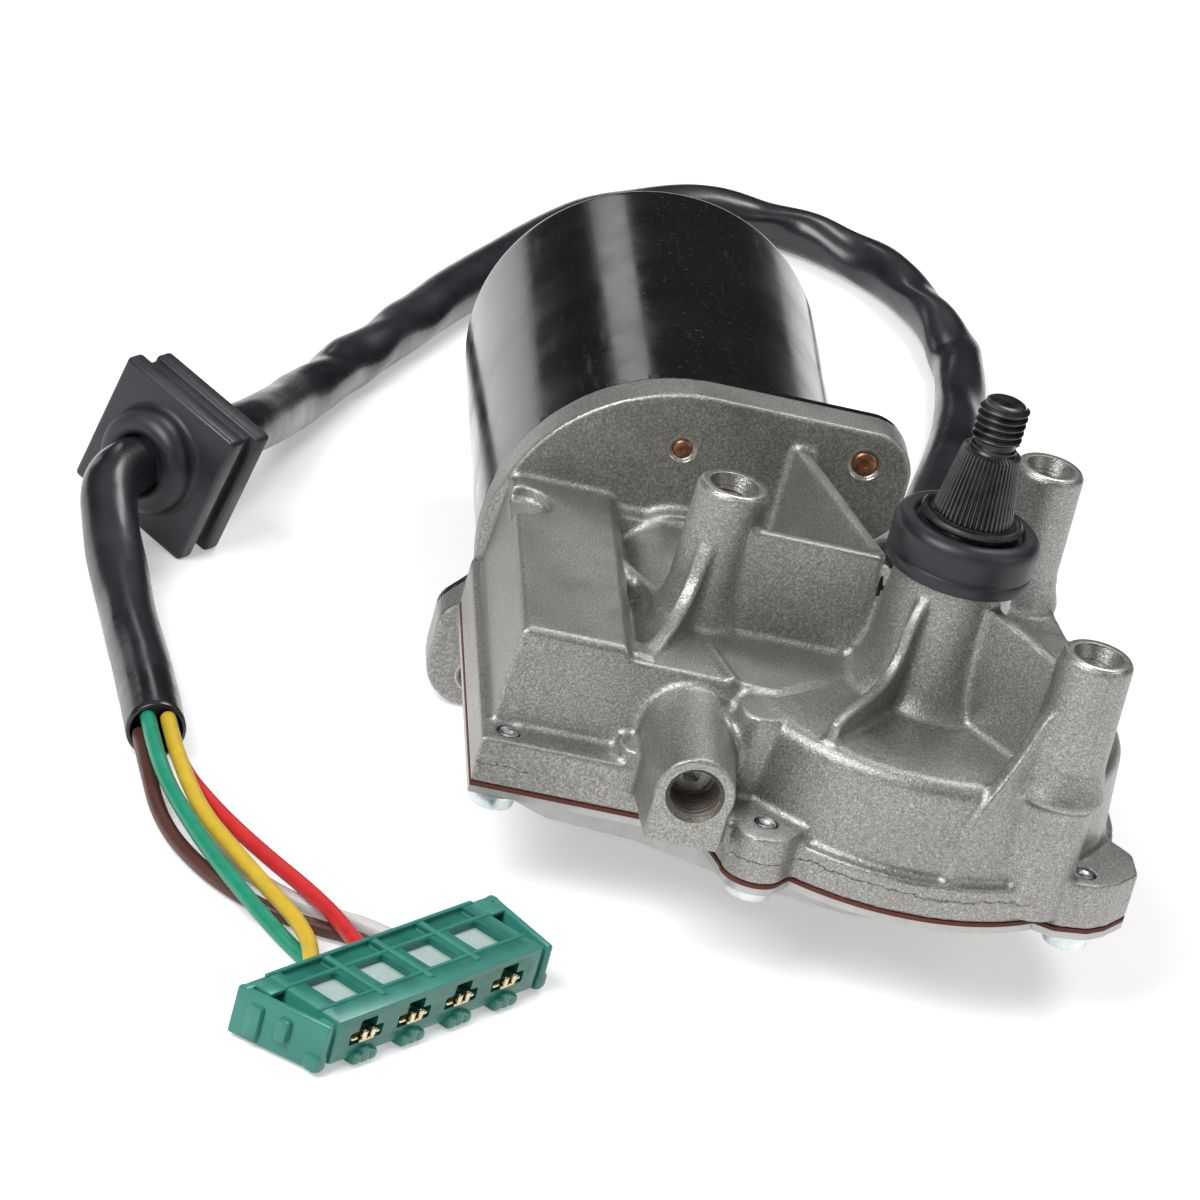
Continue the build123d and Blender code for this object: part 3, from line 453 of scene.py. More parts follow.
class SleevePvc(Finish):
    """Soft glossy PVC sleeve with wrinkles."""

    name = "pvc_black"
    base = rgb(0.009, 0.010, 0.013)
    roughness = 0.22
    sockets = {"Coat Weight": 0.2, "Coat Roughness": 0.16}

    def dress(self, surface: Surface) -> None:
        """Adds wrinkles and finger smears."""
        smear = surface.noise(surface.position(), 55.0, 5.0, 0.62)
        surface.coat(surface.blend(surface.ramp(smear, 0.35, 0.7), rgb(0.007, 0.008, 0.010),
                                   rgb(0.018, 0.020, 0.026)))
        surface.gloss(smear, 0.35, 0.7, 0.22, 0.42)
        surface.relief(surface.noise(surface.position(), 140.0, 3.0, 0.5), 0.22, 0.0008)


class BlackOxide(Finish):
    """Oiled black-oxide steel, bright where threads and splines are handled."""

    name = "black_oxide"
    base = rgb(0.030, 0.030, 0.031)
    metallic = 0.85
    roughness = 0.32

    def dress(self, surface: Surface) -> None:
        """Brightens the edges and mottles the oil film."""
        shape_masks = EDGE_AND_HOLLOW_MASKS.place(surface, Low=0.51, High=0.60, Breakup=0.5)
        film = surface.noise(surface.position(), 260.0, 4.0, 0.6)
        surface.coat(surface.blend(surface.ramp(film, 0.35, 0.65), rgb(0.018, 0.018, 0.019),
                                   rgb(0.055, 0.055, 0.057)),
                     (shape_masks["Edge"], 0.6, rgb(0.22, 0.215, 0.21)))
        surface.gloss(film, 0.3, 0.7, 0.22, 0.42)


class ZincSteel(Finish):
    """Bright zinc-plated steel with a faint blue passivation."""

    name = "zinc_steel"
    base = rgb(0.62, 0.68, 0.71)
    metallic = 1.0
    roughness = 0.26

    def dress(self, surface: Surface) -> None:
        """Tints the plating in patches and dulls it in spots."""
        film = surface.noise(surface.position(), 220.0, 4.0, 0.6)
        surface.coat(surface.blend(surface.ramp(film, 0.35, 0.65), rgb(0.50, 0.57, 0.62),
                                   rgb(0.74, 0.76, 0.74)))
        surface.gloss(film, 0.3, 0.7, 0.18, 0.38)


class ClearGreen(Finish):
    """Translucent green nylon of the plug."""

    name = "green_plastic"
    base = rgb(0.02, 0.30, 0.22)
    roughness = 0.30
    sockets = {"Transmission Weight": 0.25, "IOR": 1.5}

    def dress(self, surface: Surface) -> None:
        """Clouds the colour and paints a highlight on the convex edges, as clear plastic looks in the light."""
        shape_masks = EDGE_AND_HOLLOW_MASKS.place(surface, Low=0.505, High=0.56, Breakup=0.2)
        cloud = surface.noise(surface.position(), 180.0, 3.0, 0.5)
        surface.coat(surface.blend(surface.ramp(cloud, 0.3, 0.7), rgb(0.008, 0.15, 0.115),
                                   rgb(0.020, 0.25, 0.19)),
                     # painted highlight: the convex edges are brightened in the colour
                     (shape_masks["Edge"], 0.5, rgb(0.09, 0.42, 0.34)))
        surface.relief(cloud, 0.1, 0.0002)


class FloorPaper(Finish):
    """Pale floor that shows as white to the camera and keeps the shadow."""

    name = "floor_paper"
    base = rgb(0.86, 0.86, 0.86)
    roughness = 0.9
    sockets = {"Emission Color": rgb(1.0, 1.0, 1.0)}
    glow = 0.38

    def dress(self, surface: Surface) -> None:
        """Lets the floor glow only for what looks at it, straight or in a reflection."""
        path = surface.add("ShaderNodeLightPath").outputs
        seen = surface.math("ADD", surface.math("ADD", path["Is Camera Ray"], path["Is Glossy Ray"]),
                            path["Is Transmission Ray"])
        surface.feed(surface.shader.inputs["Emission Strength"], surface.times(seen, self.glow))


@dataclass
class Tint(Finish):
    """Finish that needs only colour, gloss and a soft speckle."""

    name: str
    base: Colour
    metallic: float = 0.0
    roughness: float = 0.5
    depth: float = 0.12
    scale: float = 400.0
    bump: float = 0.15

    def dress(self, surface: Surface) -> None:
        """Varies colour, roughness and height together."""
        value = surface.noise(surface.position(), self.scale, 5.0, 0.6)
        dark = rgb(*(channel * (1 - self.depth * 2) for channel in self.base[:3]))
        light = rgb(*(min(channel * (1 + self.depth), 1.0) for channel in self.base[:3]))
        surface.coat(surface.blend(surface.ramp(value, 0.3, 0.7), dark, light))
        surface.gloss(value, 0.3, 0.7, self.roughness * 0.85, min(self.roughness * 1.2, 1.0))
        surface.relief(value, self.bump, 0.0001)


TINTS = (
    Tint("gasket", rgb(0.13, 0.03, 0.016), 0.0, 0.75, 0.2, 900.0, 0.4),
    Tint("cover_steel", rgb(0.48, 0.48, 0.47), 0.7, 0.38, 0.08, 200.0),
    Tint("ferrite", rgb(0.045, 0.045, 0.05), 0.0, 0.8, 0.2, 900.0),
    Tint("shaft_steel", rgb(0.56, 0.56, 0.55), 1.0, 0.25, 0.06, 500.0),
    Tint("core_steel", rgb(0.35, 0.34, 0.33), 0.9, 0.4, 0.1, 800.0),
    Tint("copper", rgb(0.62, 0.24, 0.10), 0.9, 0.3, 0.12, 900.0),
    Tint("bronze", rgb(0.50, 0.34, 0.16), 0.9, 0.45, 0.12, 900.0),
    Tint("phenolic", rgb(0.18, 0.09, 0.04), 0.0, 0.5, 0.15, 500.0),
    Tint("carbon", rgb(0.03, 0.03, 0.032), 0.0, 0.7, 0.2, 900.0),
    Tint("copper_screw", rgb(0.36, 0.17, 0.09), 0.85, 0.35, 0.25, 600.0),
    Tint("wheel_nylon", rgb(0.72, 0.70, 0.62), 0.0, 0.45, 0.05, 300.0),
    Tint("terminal_brass", rgb(0.66, 0.56, 0.36), 1.0, 0.22, 0.10, 700.0),
    Tint("tapped_wall", rgb(0.24, 0.17, 0.12), 0.75, 0.36, 0.25, 900.0),
    Tint("pale_nylon", rgb(0.40, 0.50, 0.47), 0.0, 0.35, 0.04, 300.0),
    Tint("bare_seat", rgb(0.58, 0.56, 0.52), 0.85, 0.30, 0.12, 900.0),
    Tint("wire_yellow", rgb(0.62, 0.42, 0.03), 0.0, 0.38, 0.06, 300.0),
    Tint("wire_green", rgb(0.010, 0.26, 0.15), 0.0, 0.36, 0.08, 300.0),
    Tint("wire_brown", rgb(0.085, 0.028, 0.020), 0.0, 0.40, 0.08, 300.0),
    Tint("wire_white", rgb(0.60, 0.57, 0.56), 0.0, 0.42, 0.05, 300.0),
    Tint("wire_red", rgb(0.58, 0.022, 0.024), 0.0, 0.36, 0.06, 300.0),
)


class Palette:
    """All finishes by name; most names are those of material slots."""

    def __init__(self) -> None:
        """Makes every finish."""
        self.finishes = {finish.name: finish for finish in (
            CastAluminium(), CanPaint(), Rubber(), SleevePvc(), BlackOxide(), ZincSteel(), ClearGreen(),
            *TINTS)}

    def dress(self, piece: Piece, slot: str, finish: str = "") -> None:
        """Gives a new piece a finish, the named one or else the slot's own."""
        self.finishes[finish or slot].apply(piece)

    def dress_nodes(self) -> None:
        """Gives every CAD node the finish of its own material slot."""
        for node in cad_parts.values():
            self.finishes[node.data.materials[0].name.split(".")[0]].apply(node)
        LOG.info("dressed %d nodes", len(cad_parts))


# --- Workbench ---
class Bench:
    """Modelling steps that the pieces share, in millimetres; a piece's place goes into its mesh."""

    @staticmethod
    def clear() -> None:
        """Leaves edit mode and deselects everything."""
        if bpy.context.object is not None and bpy.context.object.mode != "OBJECT":
            bpy.ops.object.mode_set(mode="OBJECT")
        bpy.ops.object.select_all(action="DESELECT")

    @staticmethod
    def take(piece: Piece) -> None:
        """Makes one piece the only selected and active one."""
        Bench.clear()
        piece.select_set(True)
        bpy.context.view_layer.objects.active = piece

    @staticmethod
    def edit(piece: Piece) -> None:
        """Opens a piece in edit mode with all of it selected."""
        Bench.take(piece)
        bpy.ops.object.mode_set(mode="EDIT")
        bpy.ops.mesh.select_all(action="SELECT")

    @staticmethod
    def settle(piece: Piece, place: Optional[Matrix] = None) -> Piece:
        """Puts a piece's place into its mesh.

        Args:
            piece: the piece.
            place: further placement, applied last.
        Returns:
            The same piece, its object at the origin.
        """
        bpy.context.view_layer.update()
        piece.data.transform(piece.matrix_world)
        piece.matrix_world = Matrix.Identity(4)
        if place is not None:
            piece.data.transform(place)
        return piece

    @staticmethod
    def link(name: str, data: bpy.types.ID) -> Piece:
        """Makes an object of a mesh or curve."""
        piece = bpy.data.objects.new(name, data)
        bpy.context.scene.collection.objects.link(piece)
        return piece

    @staticmethod
    def modify(piece: Piece, kind: str, **values: object) -> None:
        """Adds one modifier and applies it.

        Args:
            piece: the piece.
            kind: type name of the modifier.
            values: its properties.
        """
        Bench.take(piece)
        modifier = piece.modifiers.new(kind.lower(), kind)
        for name, value in values.items():
            setattr(modifier, name, value)
        bpy.ops.object.modifier_apply(modifier=modifier.name)

    @staticmethod
    def smooth(piece: Piece, angle: float) -> None:
        """Shades a piece smooth except over edges sharper than an angle in degrees."""
        Bench.take(piece)
        bpy.ops.object.shade_smooth_by_angle(angle=math.radians(angle))

    @staticmethod
    def outward(piece: Piece, distance: float = 0.005) -> None:
        """Merges doubles and turns all faces outwards.

        Args:
            piece: the piece.
            distance: how near doubles lie.
        """
        Bench.edit(piece)
        bpy.ops.mesh.remove_doubles(threshold=distance * MM)
        bpy.ops.mesh.normals_make_consistent(inside=False)
        bpy.ops.object.mode_set(mode="OBJECT")

    @staticmethod
    def block(name: str, centre: Point, size: Point, bevel: float = 0.3, segments: int = 2) -> Piece:
        """Makes a block with rounded edges.

        Args:
            name: name of the piece.
            centre: middle of the block.
            size: length along each axis.
            bevel: radius of its edges.
            segments: faces across each rounded edge.
        Returns:
            The block.
        """
        Bench.clear()
        bpy.ops.mesh.primitive_cube_add(size=1.0, location=[value * MM for value in centre])
        piece = bpy.context.object
        piece.name = name
        piece.scale = [value * MM for value in size]
        Bench.settle(piece)
        Bench.modify(piece, "BEVEL", width=bevel * MM, segments=segments, limit_method="ANGLE")
        return piece

    @staticmethod
    def circle(name: str, radius: float, height: float, segments: int) -> Piece:
        """Adds a level circle about Z.

        Args:
            name: name of the piece.
            radius: radius of the circle.
            height: height of the circle.
            segments: number of points in it.
        Returns:
            The circle.
        """
        Bench.clear()
        bpy.ops.mesh.primitive_circle_add(vertices=segments, radius=radius * MM,
                                          location=(0, 0, height * MM))
        piece = bpy.context.object
        piece.name = name
        return Bench.settle(piece)

    @staticmethod
    def climb(rings: Sequence[Ring]) -> None:
        """Extrudes and resizes the selected circle, which is the first ring, to each next ring."""
        for (radius, height), (next_radius, next_height) in zip(rings, rings[1:]):
            rise = (0, 0, (next_height - height) * MM)
            bpy.ops.mesh.extrude_region_move(TRANSFORM_OT_translate={"value": rise})
            share = next_radius / radius
            bpy.ops.transform.resize(value=(share, share, 1), center_override=(0, 0, next_height * MM))
        bpy.ops.object.mode_set(mode="OBJECT")

    @staticmethod
    def lathe(name: str, rings: Sequence[Ring], segments: int = 96, place: Optional[Matrix] = None) -> Piece:
        """Turns a piece about Z by extruding and resizing one circle.

        Args:
            name: name of the piece.
            rings: radius and height of each ring; the ends are filled, or joined where they are the same.
            segments: number of faces round it.
            place: placement of the piece.
        Returns:
            The turned piece.
        """
        piece = Bench.circle(name, *rings[0], segments)
        Bench.edit(piece)
        if rings[0] != rings[-1]:
            bpy.ops.mesh.edge_face_add()
        Bench.climb(rings)
        Bench.outward(piece)
        return Bench.settle(piece, place)

    @staticmethod
    def join(name: str, pieces: Sequence[Piece]) -> Piece:
        """Joins pieces into the first one.

        Args:
            name: name of the joined piece.
            pieces: the pieces.
        Returns:
            The joined piece.
        """
        Bench.take(pieces[0])
        for piece in pieces[1:]:
            piece.select_set(True)
        if len(pieces) > 1:
            bpy.ops.object.join()
        pieces[0].name = name
        return pieces[0]

    @staticmethod
    def copy(piece: Piece, place: Optional[Matrix] = None) -> Piece:
        """Copies a piece with its own mesh.

        Args:
            piece: the piece.
            place: placement of the copy.
        Returns:
            The copy.
        """
        twin = piece.copy()
        twin.data = piece.data.copy()
        bpy.context.scene.collection.objects.link(twin)
        if place is not None:
            twin.data.transform(place)
        return twin

    @staticmethod
    def bisect(piece: Piece, place: Vector, normal: Point) -> None:
        """Cuts a piece with a plane and drops what lies on the normal's side."""
        Bench.edit(piece)
        bpy.ops.mesh.bisect(plane_co=place, plane_no=normal, clear_outer=True)
        bpy.ops.object.mode_set(mode="OBJECT")

    @staticmethod
    def cut(piece: Piece, tool: Piece) -> None:
        """Cuts a tool out of a piece and removes the tool."""
        Bench.modify(piece, "BOOLEAN", object=tool, operation="DIFFERENCE", solver="EXACT")
        bpy.data.objects.remove(tool)

    @staticmethod
    def thread(name: str, profile: Sequence[Ring], pitch: float, turns: int, steps: int = 40) -> Piece:
        """Makes a helical thread surface about Z.

        Args:
            name: name of the piece.
            profile: radius and height over one pitch.
            pitch: rise in one turn.
            turns: number of turns.
            steps: faces in one turn.
        Returns:
            The thread.
        """
        mesh = bpy.data.meshes.new(name)
        points = [(radius * MM, 0, height * MM) for radius, height in profile]
        mesh.from_pydata(points, [(i, i + 1) for i in range(len(points) - 1)], [])
        piece = Bench.link(name, mesh)
        Bench.modify(piece, "SCREW", screw_offset=pitch * MM, iterations=turns, steps=steps,
                     render_steps=steps, use_merge_vertices=False, use_normal_calculate=True)
        Bench.outward(piece, 0.01)
        return piece


@dataclass
class SubAssembly:
    """Base of the sub-assemblies: builds meshes, dresses them and fixes them to a body."""

    palette: Palette
    done: list[Piece] = field(default_factory=list, init=False)
    body = Body.HOUSING

    def fix(self, piece: Piece, slot: str, *nodes: str, angle: float = 30.0, finish: str = "") -> None:
        """Dresses a piece, sets its shading, lets it ride and hides the CAD nodes that it replaces.

        Args:
            piece: the piece, its place in its mesh.
            slot: material slot whose finish it takes when no other finish is named.
            nodes: CAD nodes that it replaces.
            angle: sharpest bend that is shaded smooth, in degrees.
            finish: name of a finish other than the slot's own.
        """
        if piece.type == "MESH":
            Bench.smooth(piece, angle)
        piece.data.materials.clear()
        self.palette.dress(piece, slot, finish)
        if nodes:
            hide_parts(*nodes)
        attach(piece, self.body.value)
        self.done.append(piece)

    def build(self) -> None:
        """Builds the sub-assembly."""
        raise NotImplementedError


# --- Cable ---
@dataclass(frozen=True)
class Route:
    """Route of a cord from the datum, in millimetres, with the facts that a cable maker names."""

    name: str
    points: tuple[Point, ...]
    diameter: float
    length: float
    far_end: str
    stiffness: str
    slot: str


@dataclass(frozen=True)
class Kink:
    """Dent in a soft sleeve: distance along it and width in millimetres, angles in degrees."""

    at: float
    angle: float
    depth: float
    width: float
    twist: float = 0.0


REAR = Route("sleeve_rear", (
    (5.0, 62.4, 11.0), (5.6, 88.0, 10.6), (8.0, 115.0, 3.0), (15.0, 141.0, -10.0), (25.0, 168.0, -17.2),
    (35.0, 202.0, -17.2), (42.5, 236.0, -17.2), (47.0, 267.0, -17.2), (47.0, 291.0, -17.2),
    (43.0, 314.0, -17.2), (32.0, 334.0, -17.2), (14.0, 347.0, -17.2), (-8.0, 349.0, -17.2),
    (-27.0, 339.0, -17.2), (-43.0, 321.0, -17.2), (-55.0, 301.0, -17.2), (-67.0, 278.0, -17.2),
    (-80.0, 253.0, -17.2), (-93.0, 225.0, -17.2), (-109.0, 191.0, -17.2), (-120.0, 160.0, -13.6),
    (-130.41, 126.67, -5.28), (-140.3, 114.09, -5.28)), 12.0, 603.0, "fitting", "medium", "pvc_black")
FRONT = Route("sleeve_front", (
    (-152.41, 98.68, -5.28), (-157.97, 91.61, -5.28), (-155.8, 78.0, -11.8), (-152.0, 62.0, -15.6),
    (-148.6, 42.0, -17.2), (-146.0, 24.0, -17.2), (-143.4, 3.0, -17.2)), 12.0, 100.0, "bare", "medium",
    "pvc_black")
WIRES = (
    Route("lead_yellow", ((-141.71, 3.21, -14.26), (-140.24, -8.7, -14.26), (-134.7, -27.1, -16.6),
                          (-127.6, -41.8, -16.6), (-120.6, -55.0, -16.6), (-115.0, -65.0, -16.6),
                          (-112.2, -75.0, -16.8), (-112.77, -86.39, -16.8)),
          3.2, 95.7, "connector", "limp", "wire_yellow"),
    Route("lead_green", ((-145.66, 2.72, -14.67), (-144.18, -9.19, -14.67), (-140.4, -20.0, -17.4),
                         (-133.0, -39.5, -18.0), (-125.5, -54.5, -18.3), (-118.4, -66.0, -19.4),
                         (-112.5, -72.5, -20.6), (-107.79, -80.79, -20.0)),
          3.2, 93.1, "connector", "limp", "wire_green"),
    Route("lead_brown", ((-146.48, 2.62, -18.58), (-145.01, -9.29, -18.58), (-141.0, -27.0, -21.6),
                         (-133.0, -42.5, -21.6), (-122.5, -52.5, -21.6), (-111.4, -56.6, -21.6),
                         (-101.5, -57.4, -21.6), (-93.51, -64.72, -21.4)),
          3.2, 94.1, "connector", "limp", "wire_brown"),
    Route("lead_white", ((-143.05, 3.04, -20.58), (-141.82, -6.88, -20.58), (-135.0, -24.5, -21.6),
                         (-127.5, -36.5, -21.6), (-118.5, -45.5, -21.6), (-108.5, -50.6, -21.6),
                         (-98.0, -52.0, -21.6), (-89.85, -60.61, -20.8)),
          3.2, 88.8, "connector", "limp", "wire_white"),
    Route("lead_red", ((-140.1, 3.41, -17.91), (-138.63, -8.5, -17.91), (-131.0, -24.0, -18.0),
                       (-122.0, -37.5, -18.0), (-112.5, -49.5, -18.0), (-106.0, -60.0, -18.0),
                       (-101.15, -73.31, -17.6)),
          3.2, 87.1, "connector", "limp", "wire_red"),
)


@dataclass
class Cord(SubAssembly):
    """One cord on its own smooth line."""

    route: Route

    def line(self) -> Piece:
        """Makes the smooth line through the route's control points, without thickness."""
        curve = bpy.data.curves.new(self.route.name, "CURVE")
        curve.dimensions = "3D"
        curve.resolution_u = 24
        spline = curve.splines.new("NURBS")
        spline.points.add(len(self.route.points) - 1)
        for point, place in zip(spline.points, self.route.points):
            point.co = (*DATUM.at(*place), 1.0)
        spline.order_u = 3
        spline.use_endpoint_u = True
        return Bench.link(self.route.name, curve)

    def declare(self, cord: Piece, path: Optional[list[Vector]] = None, ends: Sequence[Piece] = ()) -> None:
        """Reads the route's first point from the datum and does nothing else with the cord.

        Args:
            cord: the cord; not used.
            path: its centreline, for a mesh tube; not used.
            ends: separate pieces on it; not used.
        """
        route = self.route
        DATUM.at(*route.points[0])


class Wire(Cord):
    """One insulated wire from the open sleeve to the plug."""

    def build(self) -> None:
        """Makes the wire as a round curve."""
        wire = self.line()
        wire.data.bevel_depth = self.route.diameter / 2 * MM
        wire.data.bevel_resolution = 5
        wire.data.resolution_u = 10
        wire.data.use_fill_caps = True
        self.fix(wire, self.route.slot, self.route.slot)


@dataclass
class Sleeve(Cord):
    """Soft sleeve round the wires, with the folds that bending leaves in it."""

    kinks: tuple[Kink, ...]
    node: str
    open_end: float = 0.0
    sides: int = 44
    centreline: list[Vector] = field(default_factory=list, init=False)

    def radius(self, distance: float, angle: float) -> float:
        """Radius of the sleeve's skin.

        Args:
            distance: distance along it in millimetres.
            angle: angle round it, from its side towards its top.
        Returns:
            The radius in millimetres.
        """
        plain = self.route.diameter / 2
        result = plain
        for kink in self.kinks:
            along = (distance - kink.at) / kink.width
            if abs(along) > 3:
                continue
            turn = angle - math.radians(kink.angle + kink.twist * along)
            fade = math.exp(-along * along)
            result -= kink.depth * fade * max(0.0, math.cos(turn)) ** 2
            result += 0.28 * kink.depth * fade * max(0.0, math.cos(turn * 2 - math.pi)) ** 3
        wave = noise.noise(Vector((distance * 0.06, math.cos(angle) * 0.8, math.sin(angle) * 0.8)))
        result += 0.22 * wave
        floor_limit = plain / max(-math.sin(angle), 0.2)
        return min(result, floor_limit) if math.sin(angle) < -0.2 else result

    def build(self) -> None:
        """Sweeps the skin along the line and closes or opens its ends."""
        line = self.line()
        bare = bpy.data.meshes.new_from_object(line)
        self.centreline = [vertex.co.copy() for vertex in bare.vertices]
        bpy.data.objects.remove(line)
        mesh = bmesh.new()
        rings = []
        distance = 0.0
        for index, place in enumerate(self.centreline):
            before = self.centreline[max(index - 1, 0)]
            after = self.centreline[min(index + 1, len(self.centreline) - 1)]
            distance += (place - before).length / MM
            tangent = (after - before).normalized()
            side = tangent.cross(Vector((0, 0, 1))).normalized()
            top = side.cross(tangent)
            ring = []
            for step in range(self.sides):
                angle = math.tau * step / self.sides
                reach = self.radius(distance, angle) * MM
                ring.append(mesh.verts.new(place + (side * math.cos(angle) + top * math.sin(angle)) * reach))
            rings.append(ring)
        if self.open_end > 0:
            rings += self.mouth(mesh, rings[-1])
        for first, second in zip(rings, rings[1:]):
            for step in range(self.sides):
                following = (step + 1) % self.sides
                mesh.faces.new((first[step], first[following], second[following], second[step]))
        mesh.faces.new(list(reversed(rings[0])))
        mesh.faces.new(rings[-1])
        bmesh.ops.recalc_face_normals(mesh, faces=mesh.faces)
        data = bpy.data.meshes.new(self.route.name)
        mesh.to_mesh(data)
        mesh.free()
        self.fix(Bench.link(self.route.name, data), self.route.slot, self.node, angle=60.0)

    def mouth(self, mesh: bmesh.types.BMesh, rim: list[bmesh.types.BMVert]) -> list[list[bmesh.types.BMVert]]:
        """Turns the end of the sleeve inwards as an open mouth.

        Args:
            mesh: the sleeve's mesh.
            rim: its last ring.
        Returns:
            The rings of the lip and of the inner wall.
        """
        centre = self.centreline[-1]
        inward = (self.centreline[-4] - centre).normalized()
        steps = ((0.96, -0.00025), (0.88, -0.00025), (0.85, 0.0001), (0.84, 0.004), (0.84, self.open_end * MM))
        return [[mesh.verts.new(centre + (point.co - centre) * share + inward * depth) for point in rim]
                for share, depth in steps]


# --- Gear housing ---
@dataclass
class GearHousing(SubAssembly):
    """Die-cast gear housing with cast fillets, tapped posts and screw seats."""

    voxel: float = 0.45
    fillet: float = 0.9
    most_triangles: int = 188000
    posts: tuple[Point, ...] = ((-44.5, 12.0, 20.0), (24.5, 54.3, 24.0), (24.5, -32.2, 22.0))
    foot: tuple[Ring, ...] = ((9.6, 26.0), (9.4, 27.4), (8.8, 29.0), (8.2, 31.0), (7.9, 33.0))
    post_top: float = 56.0
    post_bore: float = 3.85
    front_bore: float = 4.8
    front_face: float = -45.5
    front_bore_depth: float = 9.5

    def remesh(self, piece: Piece) -> None:
        """Builds a piece's skin again from small voxels."""
        Bench.modify(piece, "REMESH", mode="VOXEL", voxel_size=self.voxel * MM)

    def drills(self) -> Piece:
        """Makes the drills for the tapped holes and the lid screws, as one cutter."""
        top, bore, wide = self.post_top, self.post_bore, self.post_bore + 1.1
        made = [Bench.lathe("drill", [(bore, top - depth), (bore, top - 1.2), (wide, top - 0.1),
                                      (wide, top + 2.0)], 48, upright(x, y)) for x, y, depth in self.posts]
        made += [Bench.lathe("drill", [(2.5, 8.8), (2.5, 10.6)], 24, upright(x, y)) for x, y in LID_SCREWS]
        bore, wide = self.front_bore, self.front_bore + 0.9
        made.append(Bench.lathe("drill", [(bore, self.front_bore_depth), (bore, 1.0), (wide, 0.1),
                                          (wide, -3.0)], 48, axle(self.front_face)))
        return Bench.join("drills", made)

    def tapping(self, name: str, bore: float, pitch: float, depth: float, place: Matrix) -> None:
        """Lines a hole with its thread.

        Args:
            name: name of the piece.
            bore: radius at the crest of the thread.
            pitch: pitch of the thread.
            depth: depth of the hole.
            place: placement of the hole's foot.
        """
        crest, root = bore - 0.02, bore + 0.46
        profile = [(crest, 0), (crest, pitch * 0.2), (root, pitch * 0.5), (root, pitch * 0.6),
                   (crest, pitch * 0.9), (crest, pitch)]
        wall = Bench.thread(name, profile, pitch, int(depth / pitch) - 1)
        Bench.modify(wall, "SOLIDIFY", thickness=0.25 * MM, offset=1.0)
        self.fix(Bench.settle(wall, place), "cast_aluminium", angle=40.0, finish="tapped_wall")

    def casting(self) -> Piece:
        """Makes the casting's skin: plain form and post feet, softened in and out by the fillet."""
        skin = Bench.copy(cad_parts["gear_housing"])
        Bench.outward(skin)
        feet = [Bench.lathe("post_foot", self.foot, 48, upright(x, y)) for x, y, _ in self.posts]
        skin = Bench.join("gear_casting", [skin, *feet])
        self.remesh(skin)
        for amount in (self.fillet, -self.fillet):
            Bench.modify(skin, "DISPLACE", strength=amount * MM, mid_level=0.0, direction="NORMAL")
            self.remesh(skin)
        triangles = sum(len(polygon.vertices) - 2 for polygon in skin.data.polygons)
        if triangles > self.most_triangles:
            Bench.modify(skin, "DECIMATE", ratio=self.most_triangles / triangles)
        return skin

    def build(self) -> None:
        """Makes the skin, cuts the holes, lines them with threads and faces the posts."""
        skin = self.casting()
        Bench.cut(skin, self.drills())
        self.fix(skin, "cast_aluminium", "gear_housing", angle=45.0)
        top, bore = self.post_top, self.post_bore
        rings = [(bore + 1.15, top - 0.3), (bore + 1.1, top + 0.04), (bore + 1.3, top + 0.09),
                 (6.35, top + 0.09), (6.6, top - 0.08), (6.7, top - 0.3), (bore + 1.15, top - 0.3)]
        faces = [Bench.lathe("post_face", rings, 56, upright(x, y)) for x, y, _ in self.posts]
        self.fix(Bench.join("post_faces", faces), "cast_aluminium", angle=40.0, finish="bare_seat")
        for number, (x, y, depth) in enumerate(self.posts, 1):
            self.tapping(f"post_tapping_{number}", bore, 1.25, depth - 1.0, upright(x, y, top - depth + 0.2))
        foot = axle(self.front_face + self.front_bore_depth) @ Matrix.Rotation(math.pi, 4, "X")
        self.tapping("front_tapping", self.front_bore, 1.5, self.front_bore_depth, foot)


# --- Motor can ---
@dataclass
class MotorCan(SubAssembly):
    """Deep-drawn can with a rounded closed end, a rear bearing cup and a flange."""

    start: float = 63.0
    end: float = 167.5
    radius: float = 38.4
    wall: float = 1.8
    edge: float = 3.6
    cup_radius: float = 10.8
    cup_rise: float = 4.0
    flange: float = 1.8

    def outside(self) -> list[Ring]:
        """Outline of the drawn shell's outside, from its mouth to the closed end."""
        length = self.end - self.start
        outer, edge, cup, rise = self.radius, self.edge, self.cup_radius, length + self.cup_rise
        turns = [math.radians(90 * step / 8) for step in range(9)]
        return [(outer, 0.9), (outer, 2.0), (outer, length * 0.5), (outer, length - edge - 1.0),
                *((outer - edge + edge * math.cos(turn), length - edge + edge * math.sin(turn))
                  for turn in turns),
                (24.0, length + 0.02), (cup + 1.6, length + 0.04), (cup + 0.5, length + 0.4),
                (cup, length + 1.2), (cup, rise - 1.2), (cup - 0.4, rise - 0.4), (cup - 1.2, rise), (2.0, rise)]

    def inside(self) -> list[Ring]:
        """Outline of the shell's inside, from the closed end to the mouth."""
        length, wall = self.end - self.start, self.wall
        bearing = self.cup_radius - wall
        return [(2.0, length + self.cup_rise - wall), (bearing, length + self.cup_rise - wall),
                (bearing, length - wall), (self.radius - wall - 2, length - wall),
                (self.radius - wall, length - wall - 2), (self.radius - wall, 0.9)]

    def build(self) -> None:
        """Makes the shell and its flange."""
        rings = self.outside() + self.inside()
        shell = Bench.lathe("can_shell", rings + [rings[0]], 128, axle(self.start))
        flange = Bench.copy(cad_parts["motor_can"])
        Bench.outward(flange)
        Bench.bisect(flange, DATUM.at(0, self.start + self.flange + 0.05, 0), (0, 1, 0))
        self.fix(Bench.join("can_shell", [shell, flange]), "can_paint", "motor_can", angle=32.0)


